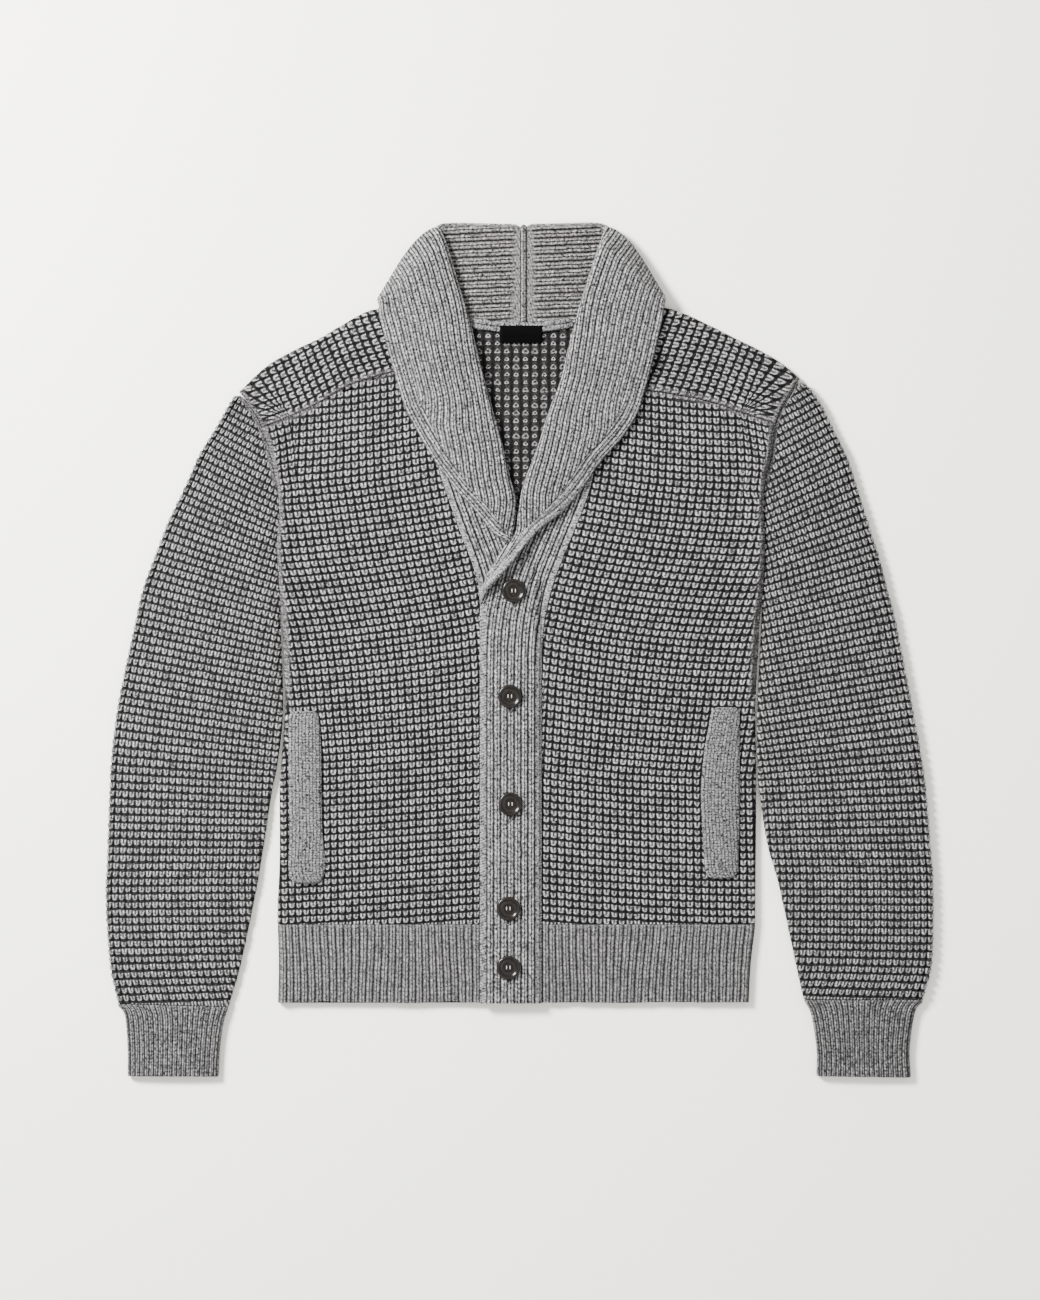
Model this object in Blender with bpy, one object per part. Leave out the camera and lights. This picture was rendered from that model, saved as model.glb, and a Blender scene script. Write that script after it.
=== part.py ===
"""Shawl collar cardigan, buttoned and laid flat on its back.

The collar is toward +Y and the front faces +Z.  Every table is in millimetres and in plan,
with the origin under the middle of the garment; the points become metres when a mesh is made.
Each knitted piece is a closed wall: a middle surface with an outer and an inner skin.
"""
import math

import bmesh
import bpy
import numpy as np

MM = 0.001

# Walls and layers (mm)
WALL = 3.0             # body, sleeve, hem and cuff
BAND_WALL = 3.4        # button bands and collar
BACK_Z = 1.5           # middle of the lower layer
FRONT_Z = 5.5          # middle of the upper layer
FOLD_R = 2.0           # middle radius of a fold between the two layers
SEAM = 0.2             # each piece stops this far before its seam line
COLLAR_STEP = 4.6      # middle of the stand to middle of the fall
LIFT = 4.3             # the shoulders rise this far over the back of the collar

STACK_Z = 8.45         # middle of the collar's folds at the sides of the neck
STAND_TURN = 2.15      # the stand's fold there, middle radius
FALL_TURN = 6.75       # the fall's fold there, middle radius

# Ribs
RIB_RELIEF = 0.7
BAND_RIBS = 10
FALL_RIBS = 12
HEM_PITCH = 6.2
CUFF_PITCH = 5.4
MIN_RIB_PITCH = 3.2    # ribs that close up below this run out

# Levels along Y
HEM_TOP = -259.8
HEM_END = -333.5
UNDERARM_Y = 32.8

# Buttons
BUTTON_D = 22.5
BUTTON_T = 3.2
BUTTON_RIM = 3.0
HOLE_D = 2.0
HOLE_STEP = 3.3
UNDER_CLEAR = 4.4      # the top band's rise over the under band
BUTTONS = [(-6.9, 56.6), (-10.6, -43.4), (-10.0, -145.4), (-12.0, -244.4), (-12.0, -300.3)]

# Side seam, then the armhole, from the hem up: x, y
LEFT_SIDE = [(-230.9, -345.0), (-230.0, -297.8), (-230.9, -259.8), (-230.9, -237.0),
             (-229.0, -191.4), (-229.2, -131.6), (-224.8, -90.0), (-223.3, -51.8),
             (-224.6, -10.0), (-226.8, 32.8), (-231.8, 93.6), (-229.6, 133.5),
             (-233.7, 166.7), (-240.4, 196.2), (-246.1, 211.4)]
RIGHT_SIDE = [(215.6, -345.0), (218.0, -297.8), (222.3, -259.8), (222.3, -237.0),
              (222.9, -191.4), (223.3, -131.6), (222.6, -90.0), (222.3, -51.8),
              (224.0, -10.0), (226.8, 32.8), (231.4, 93.6), (230.4, 133.5),
              (232.2, 162.9), (237.5, 184.8), (241.3, 215.2)]

# Front band seam from the hem to the shoulder seam: x, y
LEFT_BAND_SEAM = [(-38.5, -345.0), (-38.5, -200.0), (-38.5, -60.0), (-38.5, 15.0),
                  (-39.0, 42.0), (-41.0, 62.0), (-46.4, 82.0), (-58.0, 112.6),
                  (-68.5, 142.0), (-75.0, 161.0), (-82.5, 190.0), (-86.5, 219.0),
                  (-87.4, 248.0), (-87.4, 274.1)]
RIGHT_BAND_SEAM = [(20.0, -345.0), (20.0, -200.0), (20.0, -100.0), (20.0, -30.0),
                   (20.4, 0.0), (22.0, 22.0), (25.7, 42.3), (32.3, 67.0), (42.8, 93.6),
                   (55.1, 124.0), (66.0, 154.4), (75.0, 200.0), (82.7, 238.0), (86.5, 255.1)]

# Saddle: front seam, shoulder fold and back seam, from the armhole to the neck: x, y
LEFT_SADDLE_FRONT = [(-246.1, 211.4), (-220.4, 220.9), (-199.5, 230.4), (-179.6, 241.8),
                     (-158.7, 253.2), (-119.7, 264.6), (-87.4, 274.1)]
LEFT_SADDLE_FOLD = [(-268.0, 245.6), (-243.0, 269.0), (-219.0, 283.5), (-190.0, 297.0),
                    (-170.0, 309.0), (-143.5, 322.4), (-115.0, 326.5), (-87.0, 335.5)]
LEFT_SADDLE_BACK = [(-251.5, 222.5), (-232.0, 247.0), (-209.0, 262.5), (-184.0, 275.0),
                    (-162.0, 288.0), (-138.0, 300.0), (-109.0, 311.5),
                     (-95.0, 316.5), (-80.0, 321.5)]
RIGHT_SADDLE_FRONT = [(241.3, 215.2), (209.0, 225.6), (191.0, 232.3), (170.0, 238.0),
                      (143.0, 243.0), (115.9, 247.5), (86.5, 255.1)]
RIGHT_SADDLE_FOLD = [(265.0, 257.6), (246.0, 273.5), (221.0, 287.8), (197.0, 299.5),
                     (174.0, 311.0), (143.5, 323.6), (115.0, 327.5), (87.0, 335.5)]
RIGHT_SADDLE_BACK = [(248.3, 231.6), (232.0, 250.0), (211.0, 265.0), (187.0, 277.0),
                     (164.0, 289.0), (139.0, 301.0), (109.0, 312.0), (95.0, 316.8),
                      (80.0, 321.5)]
# Bow of the armhole ends of the saddles, in plan
LEFT_BOW = (3.6, -2.2)
RIGHT_BOW = (-1.9, 1.1)
NECK_SCOOP = [(-80.0, 320.7), (-58.0, 312.5), (-32.0, 307.0), (0.0, 304.5), (32.0, 307.0),
              (58.0, 312.5), (80.0, 320.7)]

# Sleeves, one row for each section from the shoulder tip down.
# seam_x, seam_y: armhole or inner fold;  out_x, out_y: outer fold;  crown: rise of the middle
LEFT_SLEEVE = [(-265.9, 242.0, -272.8, 241.0, 0.0), (-259.5, 234.4, -279.6, 229.8, 0.2),
               (-251.4, 222.5, -287.0, 217.0, 0.5), (-246.1, 211.4, -294.0, 205.0, 0.8),
               (-240.4, 196.2, -306.0, 185.0, 1.2), (-233.7, 166.7, -322.0, 150.0, 1.6),
               (-229.6, 133.5, -336.5, 120.0, 2.0), (-231.8, 93.6, -350.0, 85.0, 2.0),
               (-229.8, 60.0, -360.0, 57.0, 2.0), (-228.4, 32.8, -367.0, 27.0, 2.0),
               (-225.6, -51.8, -383.5, -52.0, 2.0), (-230.4, -104.0, -389.8, -104.0, 2.0),
               (-235.9, -131.6, -391.4, -136.0, 2.0), (-245.1, -191.4, -393.6, -196.0, 2.0),
               (-251.8, -230.4, -394.9, -237.0, 1.8), (-266.0, -297.8, -391.0, -297.0, 1.3),
               (-277.4, -337.4, -383.0, -334.6, 1.0)]
RIGHT_SLEEVE = [(262.6, 253.6, 269.6, 253.0, 0.0), (257.5, 246.8, 276.0, 246.5, 0.2),
                (249.0, 232.7, 286.4, 232.0, 0.5), (241.3, 215.2, 296.5, 211.0, 0.8),
                (237.5, 184.8, 310.0, 184.0, 1.2), (232.2, 162.9, 319.5, 156.0, 1.6),
                (230.4, 133.5, 330.0, 122.0, 2.0), (231.4, 93.6, 343.0, 80.0, 2.0),
                (229.8, 60.0, 350.0, 52.0, 2.0), (228.4, 32.8, 356.5, 28.0, 2.0),
                (224.4, -51.8, 372.0, -52.0, 2.0), (224.6, -104.0, 381.5, -104.0, 2.0),
                (225.9, -132.5, 385.3, -134.0, 2.0), (234.0, -185.0, 389.6, -186.0, 2.0),
                (244.0, -220.0, 392.2, -226.0, 1.8), (260.0, -294.0, 391.0, -294.0, 1.3),
                (268.0, -330.6, 381.9, -331.0, 1.0)]
# Cuffs: inner x, y, outer x, y
LEFT_CUFF = [(-277.4, -338.1, -382.9, -335.3), (-282.2, -353.9, -375.6, -346.0),
             (-285.5, -377.6, -373.0, -377.6), (-286.9, -402.0, -372.9, -402.0)]
RIGHT_CUFF = [(268.1, -331.3, 381.8, -331.7), (275.0, -345.0, 373.6, -343.0),
              (280.3, -377.6, 368.6, -377.6), (280.3, -402.6, 369.6, -403.4)]

# Bands: one row for each section from the hem to the middle of the back.
# seam x, y; roll x, y; free edge x, y; bend: degrees that the band is folded over the roll;
# turn: 90 on the front, -90 on the back, and the angle round the side of the neck between
LEFT_BAND = [(-38.2, -334.5, 0.0, 0.0, 13.0, -334.5, 0.0, 90.0),
             (-38.2, -100.0, 0.0, 0.0, 13.0, -100.0, 0.0, 90.0),
             (-38.2, 30.0, 0.0, 0.0, 13.0, 30.0, 0.0, 90.0),
             (-39.2, 62.0, 0.0, 0.0, 8.0, 60.0, 0.0, 90.0),
             (-46.8, 82.0, 0.0, 0.0, -3.0, 79.0, 0.0, 90.0),
             (-51.6, 95.0, 0.0, 0.0, -14.5, 92.0, 0.0, 90.0),
             (-55.0, 104.5, -19.5, 101.0, -16.0, 101.0, 60.0, 90.0),
             (-57.5, 111.0, -19.5, 106.0, -24.0, 107.0, 120.0, 90.0),
             (-60.5, 118.5, -15.5, 111.5, -30.5, 115.5, 180.0, 90.0),
             (-65.8, 134.0, -10.5, 123.0, -45.0, 134.0, 180.0, 90.0),
             (-71.6, 151.0, -8.0, 141.0, -62.0, 153.0, 180.0, 90.0),
             (-79.0, 176.0, -11.3, 166.0, -81.0, 178.0, 180.0, 90.0),
             (-84.4, 202.0, -16.8, 192.0, -96.0, 203.0, 180.0, 90.0),
             (-86.7, 232.0, -26.0, 224.0, -110.0, 230.0, 180.0, 90.0),
             (-87.1, 264.0, -36.5, 264.0, -121.0, 266.0, 180.0, 90.0),
             (-87.0, 280.0, -42.5, 287.0, -125.8, 283.0, 180.0, 90.0),
             (-86.7, 296.0, -49.0, 313.0, -130.0, 300.0, 180.0, 90.0),
             (-86.3, 316.0, -59.5, 348.0, -134.3, 316.0, 180.0, 90.0),
             (-85.8, 331.0, -71.5, 387.0, -134.8, 327.0, 180.0, 90.0),
             (-85.6, 334.0, -75.0, 396.0, -135.2, 331.5, 180.0, 45.0),
             (-85.4, 336.3, -77.0, 401.5, -134.0, 334.0, 180.0, 0.0),
             (-84.4, 334.5, -73.0, 403.0, -131.5, 331.5, 180.0, -45.0),
             (-82.6, 330.5, -65.0, 403.0, -126.0, 323.5, 180.0, -90.0),
             (-76.6, 322.2, -52.0, 403.0, -104.0, 306.5, 180.0, -90.0),
             (-55.0, 312.8, -34.0, 403.0, -66.0, 298.5, 180.0, -90.0),
             (-28.0, 307.4, -17.0, 403.0, -31.0, 297.0, 180.0, -90.0),
             (-1.0, 305.4, -1.0, 403.0, -1.0, 297.0, 180.0, -90.0)]
RIGHT_BAND = [(19.7, -334.5, 0.0, 0.0, -39.0, -334.5, 0.0, 90.0),
              (19.7, -100.0, 0.0, 0.0, -39.0, -100.0, 0.0, 90.0),
              (19.9, -2.0, 0.0, 0.0, -39.0, -2.0, 0.0, 90.0),
              (21.8, 23.0, 0.0, 0.0, -39.0, 23.0, 0.0, 90.0),
              (25.4, 42.3, 0.0, 0.0, -38.6, 42.0, 0.0, 90.0),
              (27.6, 52.0, -36.0, 52.0, -32.0, 52.0, 50.0, 90.0),
              (30.2, 62.0, -35.3, 61.0, -31.0, 61.0, 115.0, 90.0),
              (34.2, 73.0, -31.6, 72.5, -21.6, 71.5, 180.0, 90.0),
              (38.6, 84.5, -24.3, 84.0, -12.5, 82.5, 180.0, 90.0),
              (43.2, 96.0, -17.0, 95.5, -3.0, 93.5, 180.0, 90.0),
              (51.4, 116.0, -6.0, 112.0, 16.5, 115.0, 180.0, 90.0),
              (58.2, 132.0, -2.5, 130.5, 39.0, 131.6, 180.0, 90.0),
              (66.8, 154.0, 1.2, 152.0, 59.0, 154.0, 180.0, 90.0),
              (71.4, 178.0, 10.5, 178.0, 76.0, 179.0, 180.0, 90.0),
              (75.6, 205.0, 17.5, 198.0, 97.0, 203.0, 180.0, 90.0),
              (80.9, 231.0, 26.5, 226.0, 111.0, 226.0, 180.0, 90.0),
              (85.9, 260.0, 38.0, 257.0, 120.5, 257.0, 180.0, 90.0),
              (86.0, 276.0, 43.5, 280.0, 125.0, 274.0, 180.0, 90.0),
              (86.0, 291.0, 49.0, 302.0, 128.7, 291.0, 180.0, 90.0),
              (85.8, 314.0, 60.0, 341.0, 134.0, 314.0, 180.0, 90.0),
              (85.6, 331.0, 75.5, 386.0, 136.0, 328.0, 180.0, 90.0),
              (85.5, 334.0, 78.0, 395.0, 136.2, 332.5, 180.0, 45.0),
              (85.3, 336.3, 79.5, 401.5, 135.0, 334.5, 180.0, 0.0),
              (84.4, 334.5, 76.0, 403.0, 132.0, 332.0, 180.0, -45.0),
              (82.6, 330.5, 69.0, 403.0, 126.5, 323.5, 180.0, -90.0),
              (76.6, 322.2, 56.0, 403.0, 105.0, 306.5, 180.0, -90.0),
              (55.0, 312.8, 40.0, 403.0, 69.0, 298.5, 180.0, -90.0),
              (30.0, 307.7, 23.0, 403.0, 36.0, 297.0, 180.0, -90.0),
              (6.0, 305.5, 6.0, 403.0, 6.0, 297.0, 180.0, -90.0)]
# Free edge of the under band, which the top band passes over: y, x
UNDER_EDGE = [(-400.0, 13.0), (30.0, 13.0), (60.0, 13.5), (79.0, 3.5), (92.0, -9.5),
              (98.0, -14.0), (104.0, -26.0), (112.0, -60.0)]

# Pocket welts: x, y of the middle line with the half width, from the top down
LEFT_WELT = [(-206.5, -57.5, 12.0), (-206.0, -61.0, 14.2), (-205.0, -100.0, 15.6),
             (-204.8, -140.0, 16.2), (-204.6, -180.0, 16.0), (-204.4, -217.0, 15.4),
             (-204.4, -220.9, 13.0)]
RIGHT_WELT = [(194.3, -53.7, 11.2), (193.5, -57.5, 13.4), (190.5, -95.0, 17.0),
              (189.0, -134.0, 18.8), (189.6, -175.0, 17.4), (190.0, -212.5, 15.0),
              (190.0, -216.1, 12.6)]
WELT_T = 2.0

# Neck binding and label
BINDING_W = 11.0
BINDING_T = 1.6
LABEL_W = 40.0
LABEL_TOP = 308.0
LABEL_END = 291.6
LABEL_T = 1.0
CB_SEAM = (-0.7, 5.7)  # the linked strip at the collar's centre back, along X

SLOTS = {"waffle_knit": ((0.30, 0.29, 0.29), 0.95), "rib_knit": ((0.42, 0.41, 0.41), 0.95),
         "linked_knit": ((0.50, 0.49, 0.49), 0.95), "label_fabric": ((0.02, 0.02, 0.02), 0.6),
         "horn_button": ((0.09, 0.07, 0.05), 0.35)}


# ---------------------------------------------------------------- scene and meshes
def clear_scene():
    """Remove every object of the start-up scene."""
    for obj in list(bpy.data.objects):
        bpy.data.objects.remove(obj, do_unlink=True)


def make_collection(name):
    """Make the part's collection."""
    collection = bpy.data.collections.new(name)
    bpy.context.scene.collection.children.link(collection)
    return collection


def make_material(name, slot):
    """Make one Principled material in a slot's colour."""
    colour, roughness = SLOTS[slot]
    material = bpy.data.materials.new(name)
    material.use_nodes = True
    shader = material.node_tree.nodes["Principled BSDF"]
    shader.inputs["Base Color"].default_value = (*colour, 1.0)
    shader.inputs["Roughness"].default_value = roughness
    return material


def add_object(collection, name, bm, slot):
    """Turn a finished bmesh in millimetres into a named object in metres."""
    bmesh.ops.remove_doubles(bm, verts=bm.verts[:], dist=0.002)
    bmesh.ops.triangulate(bm, faces=bm.faces[:])
    bmesh.ops.recalc_face_normals(bm, faces=bm.faces[:])
    bmesh.ops.scale(bm, vec=(MM, MM, MM), verts=bm.verts[:])
    mesh = bpy.data.meshes.new(name)
    bm.to_mesh(mesh)
    bm.free()
    obj = bpy.data.objects.new(name, mesh)
    obj.data.materials.append(make_material(name + "_" + slot, slot))
    collection.objects.link(obj)
    return obj


# ---------------------------------------------------------------- curves and grids
def smooth_line(rows, per_span=12):
    """Pass a smooth line through the rows and return it as a dense polyline."""
    pts = np.array(rows, dtype=float)
    ext = np.vstack([2 * pts[0] - pts[1], pts, 2 * pts[-1] - pts[-2]])
    out = []
    for i in range(len(pts) - 1):
        p0, p1, p2, p3 = ext[i:i + 4]
        for k in range(per_span):
            t = k / per_span
            out.append(0.5 * (2 * p1 + (p2 - p0) * t + (2 * p0 - 5 * p1 + 4 * p2 - p3) * t * t
                              + (3 * p1 - p0 - 3 * p2 + p3) * t ** 3))
    out.append(pts[-1])
    return np.array(out)


def at_level(rows, levels, axis=1):
    """Read points of a smooth line at given values of one coordinate."""
    line = smooth_line(rows)
    order = np.argsort(line[:, axis])
    line = line[order]
    levels = np.asarray(levels, dtype=float)
    cols = [levels if c == axis else np.interp(levels, line[:, axis], line[:, c])
            for c in range(line.shape[1])]
    return np.stack(cols, axis=-1)


def along(rows, fractions):
    """Read points of a smooth line at fractions of its length."""
    line = smooth_line(rows)
    steps = np.linalg.norm(np.diff(line, axis=0), axis=1)
    run = np.concatenate([[0.0], np.cumsum(steps)]) / steps.sum()
    return np.stack([np.interp(fractions, run, line[:, c]) for c in range(line.shape[1])], -1)


def ease(t):
    """Smooth step from 0 to 1."""
    t = np.clip(t, 0.0, 1.0)
    return t * t * (3 - 2 * t)


def lift(x, y):
    """Rise of the shoulders over the part of the collar that lies on the floor."""
    return LIFT * ease((y - 262.0) / 30.0) * (1 - ease((np.abs(x) - 133.0) / 56.0))


def normals_of(grid, probe):
    """Unit normals of a grid, turned so that the probe column's first one points up."""
    normal = np.cross(np.gradient(grid, axis=1), np.gradient(grid, axis=0))
    normal /= np.maximum(np.linalg.norm(normal, axis=2, keepdims=True), 1e-9)
    if normal[0, probe, 2] < 0:
        normal = -normal
    upright = np.abs(normal[..., 2]) > 0.9
    normal[upright] = np.sign(normal[upright][:, 2:]) * np.array([[0.0, 0.0, 1.0]])
    return normal


def skins(mid, thickness, relief=None, probe=6):
    """Offset a middle surface to its upper and lower skins; relief is on the upper one."""
    normal = normals_of(mid, probe)
    upper = mid + normal * thickness / 2
    if relief is not None:
        upper = upper + normal * relief[..., None]
    return upper, mid - normal * thickness / 2


def square_ends(mid, pair, both):
    """Level the cut edge of a side that turns into the fold between the layers."""
    for column in (0, -1) if both else (0,):
        turn = curl_share(mid[:, column, 1])
        for grid in pair:
            grid[:, column, 2] += turn * (mid[:, column, 2] - grid[:, column, 2])
    return pair


def grid_faces(bm, grid, closed=False):
    """Add a grid's points and quads, and return its vertices by row."""
    verts = [[bm.verts.new(p) for p in row] for row in grid]
    columns = len(verts[0])
    for a, b in zip(verts, verts[1:]):
        for i in range(columns if closed else columns - 1):
            k = (i + 1) % columns
            bm.faces.new((a[i], a[k], b[k], b[i]))
    return verts


def lengths(verts):
    """Fraction of the length at each vertex of a line of vertices."""
    run = [0.0]
    for a, b in zip(verts, verts[1:]):
        run.append(run[-1] + (b.co - a.co).length)
    return [r / run[-1] for r in run]


def zip_lines(bm, first, second):
    """Join two lines of vertices of unlike counts with triangles."""
    s, t = lengths(first), lengths(second)
    i = k = 0
    while i < len(first) - 1 or k < len(second) - 1:
        step_first = k == len(second) - 1 or (i < len(first) - 1 and s[i + 1] <= t[k + 1])
        if step_first:
            bm.faces.new((first[i], first[i + 1], second[k]))
            i += 1
        else:
            bm.faces.new((first[i], second[k + 1], second[k]))
            k += 1


def wall(first, second, closed=False, sides=None):
    """Close two skins into one wall.

    closed joins the last column to the first all the way; sides, if given, is the number of
    rows from the first whose two side edges stay open and get a rim of their own.
    """
    bm = bmesh.new()
    a = grid_faces(bm, first, closed)
    b = grid_faces(bm, second, closed)
    for row in (0, -1):
        la, lb = a[row], b[row]
        if closed:
            la, lb = la + la[:1], lb + lb[:1]
        zip_lines(bm, la, lb)
    if not closed:
        last = len(a) if sides is None else sides
        for column in (0, -1):
            zip_lines(bm, [r[column] for r in a[:last]], [r[column] for r in b[:last]])
    return bm


# ---------------------------------------------------------------- body panels
CURL_STEPS = np.radians([0.0, 30.0, 60.0, 90.0])
CURL = FOLD_R * (1 - np.cos(CURL_STEPS))
CURL_RISE = np.sin(CURL_STEPS)
CURL_N = len(CURL)
FOLD_STEPS = (90.0, 45.0, 0.0, -45.0, -90.0)
MEET_Z = (FRONT_Z + BACK_Z) / 2


def curl_share(y):
    """How far a side edge turns into the fold: all of it below the underarm."""
    return 1 - ease((np.asarray(y, dtype=float) - UNDERARM_Y) / 26.0)


def coons(left, right, bottom, top, share):
    """Coons patch; share holds each point's fraction across, a row for each section."""
    rows = len(left)
    grid = np.zeros((rows, share.shape[1], 2))
    run = np.concatenate([[0.0], np.cumsum(np.linalg.norm(np.diff(left, axis=0), axis=1))])
    up = run / run[-1]
    for k in range(rows):
        u, v = share[k][:, None], up[k]
        low, high = along(bottom, share[k]), along(top, share[k])
        corner = ((1 - u) * (1 - v) * low[:1] + u * (1 - v) * low[-1:]
                  + (1 - u) * v * high[:1] + u * v * high[-1:])
        grid[k] = (1 - u) * left[k] + u * right[k] + (1 - v) * low + v * high - corner
    return grid


def shares(widths, inner, curl_left, curl_right):
    """Fractions across for each row, with the fold's columns at the curled edges."""
    rows = []
    for width in widths:
        head = list(CURL / width) if curl_left else [0.0]
        tail = list(1 - CURL[::-1] / width) if curl_right else [1.0]
        low, high = head[-1], tail[0]
        rows.append(head + [low + (high - low) * f for f in inner] + tail)
    return np.array(rows)


def heights(plan, base, curl_left, curl_right):
    """Give a plan grid its heights, with the side edges turned to meet the other layer."""
    z = np.full(plan.shape[:2], base)
    turn = curl_share(plan[:, 0, 1])[:, None]
    turn_right = curl_share(plan[:, -1, 1])[:, None]
    step = base - MEET_Z
    gap = 0.15 * np.sign(step)
    if curl_left:
        z[:, :CURL_N] = (MEET_Z + gap) * turn + base * (1 - turn) + (step - gap) * turn * CURL_RISE
    if curl_right:
        bent = (MEET_Z + gap) * turn_right + base * (1 - turn_right)
        z[:, -CURL_N:] = bent + (step - gap) * turn_right * CURL_RISE[::-1]
    return np.dstack([plan, z + lift(plan[..., 0], plan[..., 1])])


def side_points(table, levels, inward):
    """Middle-line points of a side edge: half a wall inside where it is folded."""
    pts = at_level(table, levels)
    pts[:, 0] += inward * (SEAM + (WALL / 2 - SEAM) * curl_share(levels))
    return pts


BODY_LEVELS = [HEM_TOP + SEAM, -191.4, -131.6, -51.8, UNDERARM_Y, 45.0, 60.0, 93.6,
               115.0, 133.5, 150.0, 166.7, 184.8, 196.2]
LEFT_BAND_LEVELS = [HEM_TOP + SEAM, -190.0, -100.0, 30.0, 62.0, 82.0, 95.0, 111.0, 134.0,
                    151.0, 176.0, 202.0, 232.0, 255.0]
RIGHT_BAND_LEVELS = [HEM_TOP + SEAM, -2.0, 23.0, 42.3, 62.0, 73.0, 84.5, 96.0, 116.0,
                     132.0, 154.0, 178.0, 205.0, 231.0]
INNER_FRONT = [0.14, 0.32, 0.5, 0.68, 0.86]


def shifted(rows, dx=0.0, dy=0.0):
    """Move a table's points in plan."""
    return [(x + dx, y + dy) for x, y in rows]


def front_panel(side, band_seam, saddle, inward, band_levels):
    """Plan and heights of one front, from the side seam to the band seam."""
    top = shifted(saddle, dy=-SEAM)
    levels = BODY_LEVELS + [top[0][1]]
    side_line = side_points(side, levels, inward)
    band_line = at_level(band_seam, band_levels + [top[-1][1]])
    band_line[:, 0] -= inward * SEAM
    top_line = [tuple(side_line[-1])] + top[1:-1] + [tuple(band_line[-1])]
    bottom = [tuple(side_line[0]), tuple(band_line[0])]
    widths = np.linalg.norm(band_line - side_line, axis=1)
    share = shares(widths, INNER_FRONT, True, False)
    return heights(coons(side_line, band_line, bottom, top_line, share), FRONT_Z, True, False)


def back_panel():
    """Plan and heights of the back, from side seam to side seam."""
    top = (shifted(LEFT_SADDLE_BACK, dy=-1.0)[:-1] + shifted(NECK_SCOOP, dy=-SEAM)
           + shifted(RIGHT_SADDLE_BACK[::-1], dy=-1.0)[1:])
    left = side_points(LEFT_SIDE, BODY_LEVELS, 1.0)
    right = side_points(RIGHT_SIDE, BODY_LEVELS, -1.0)
    left = np.vstack([left, [(-245.6, 211.4)], [(top[0][0] + 0.4, top[0][1])]])
    right = np.vstack([right, [(240.7, 215.2)], [(top[-1][0] - 0.4, top[-1][1])]])
    bottom = [tuple(left[0]), tuple(right[0])]
    widths = np.linalg.norm(right - left, axis=1)
    inner = [0.1, 0.15, 0.2, 0.25, 0.3, 0.35, 0.4, 0.46, 0.51, 0.56, 0.61, 0.66, 0.71, 0.76,
             0.81, 0.86, 0.91]
    share = shares(widths, inner, True, True)
    return heights(coons(left, right, bottom, top, share), BACK_Z, True, True)


def saddle(front, fold, back, bow):
    """One saddle: from its front seam over the shoulder fold to its back seam."""
    fractions = np.linspace(0.0, 1.0, 9)
    a, b, c = (along(t, fractions) for t in (front, fold, back))
    inward = a - b
    inward /= np.linalg.norm(inward, axis=1, keepdims=True)
    nose = b + inward * WALL / 2
    bows = np.array(bow) * (1 - fractions[:, None]) ** 2
    rows = [(a + (nose - a) * 0.008, FRONT_Z), (a + (nose - a) * 0.4 + bows * 0.96, FRONT_Z),
            (a + (nose - a) * 0.75 + bows * 0.75, FRONT_Z)]
    for angle in FOLD_STEPS:
        rad = math.radians(angle)
        rows.append((nose + inward * FOLD_R * (1 - math.cos(rad)) + bows * 0.1,
                     MEET_Z + FOLD_R * math.sin(rad)))
    rows += [(nose + (c - nose) * 0.5 + bows * 0.5, BACK_Z), (c + (nose - c) * 0.06, BACK_Z)]
    grid = np.array([[(x, y, z + lift(x, y)) for x, y in plan] for plan, z in rows])
    for edge, next_to in ((0, 1), (-1, -2)):
        step = grid[:, next_to] - grid[:, edge]
        grid[:, edge] += step / np.linalg.norm(step, axis=1, keepdims=True) * SEAM * 2
    return grid


# ---------------------------------------------------------------- sleeves and cuffs
def tube_section(inner, outer, crown, turn, columns):
    """Middle line of one section: upper layer, outer fold, lower layer, both inner edges."""
    axis = outer - inner
    width = np.linalg.norm(axis)
    axis = axis / width
    head = inner + axis * (SEAM + (WALL / 2 - SEAM) * turn)
    nose = outer - axis * WALL / 2
    span = np.linalg.norm(nose - head) - 2 * FOLD_R
    pts = []
    for w, rise in zip(CURL, CURL_RISE):
        pts.append((*(head + axis * w), MEET_Z + FOLD_R * (rise * turn + 1 - turn)))
    for f in columns:
        pts.append((*(head + axis * (FOLD_R + span * f)),
                    FRONT_Z + crown * math.sin(math.pi * f) ** 0.7))
    for angle in FOLD_STEPS:
        rad = math.radians(angle)
        pts.append((*(nose - axis * FOLD_R * (1 - math.cos(rad))),
                    MEET_Z + FOLD_R * math.sin(rad)))
    for f in (0.67, 0.33):
        pts.append((*(head + axis * (FOLD_R + span * f)), BACK_Z))
    for w, rise in zip(CURL[::-1], CURL_RISE[::-1]):
        pts.append((*(head + axis * w), MEET_Z - FOLD_R * (rise * turn + 1 - turn)))
    return pts


def sleeve(table):
    """Middle surface of a sleeve, with the number of sections above the underarm."""
    columns = [0.12, 0.3, 0.5, 0.7, 0.88]
    rows, sections = [], 0
    for seam_x, seam_y, out_x, out_y, crown in table:
        turn = float(curl_share(seam_y))
        sections += seam_y > UNDERARM_Y + 0.1
        inner, outer = np.array([seam_x, seam_y]), np.array([out_x, out_y])
        rows.append(tube_section(inner, outer, crown, turn, columns))
    return np.array(rows), sections


def sleeve_wall(table):
    """A sleeve: open beside the armhole, closed into a tube from the underarm down."""
    mid, sections = sleeve(table)
    skin, lining = skins(mid, WALL)
    for grid in square_ends(mid, (skin, lining), True):
        grid[-1, :, 1] = mid[-1, :, 1]
        grid[..., 2] = np.maximum(grid[..., 2], 0.0)
        meet = (grid[sections:, 0] + grid[sections:, -1]) / 2
        grid[sections:, 0] = meet
        grid[sections:, -1] = meet
    return wall(skin, lining, sides=sections + 1)


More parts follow.
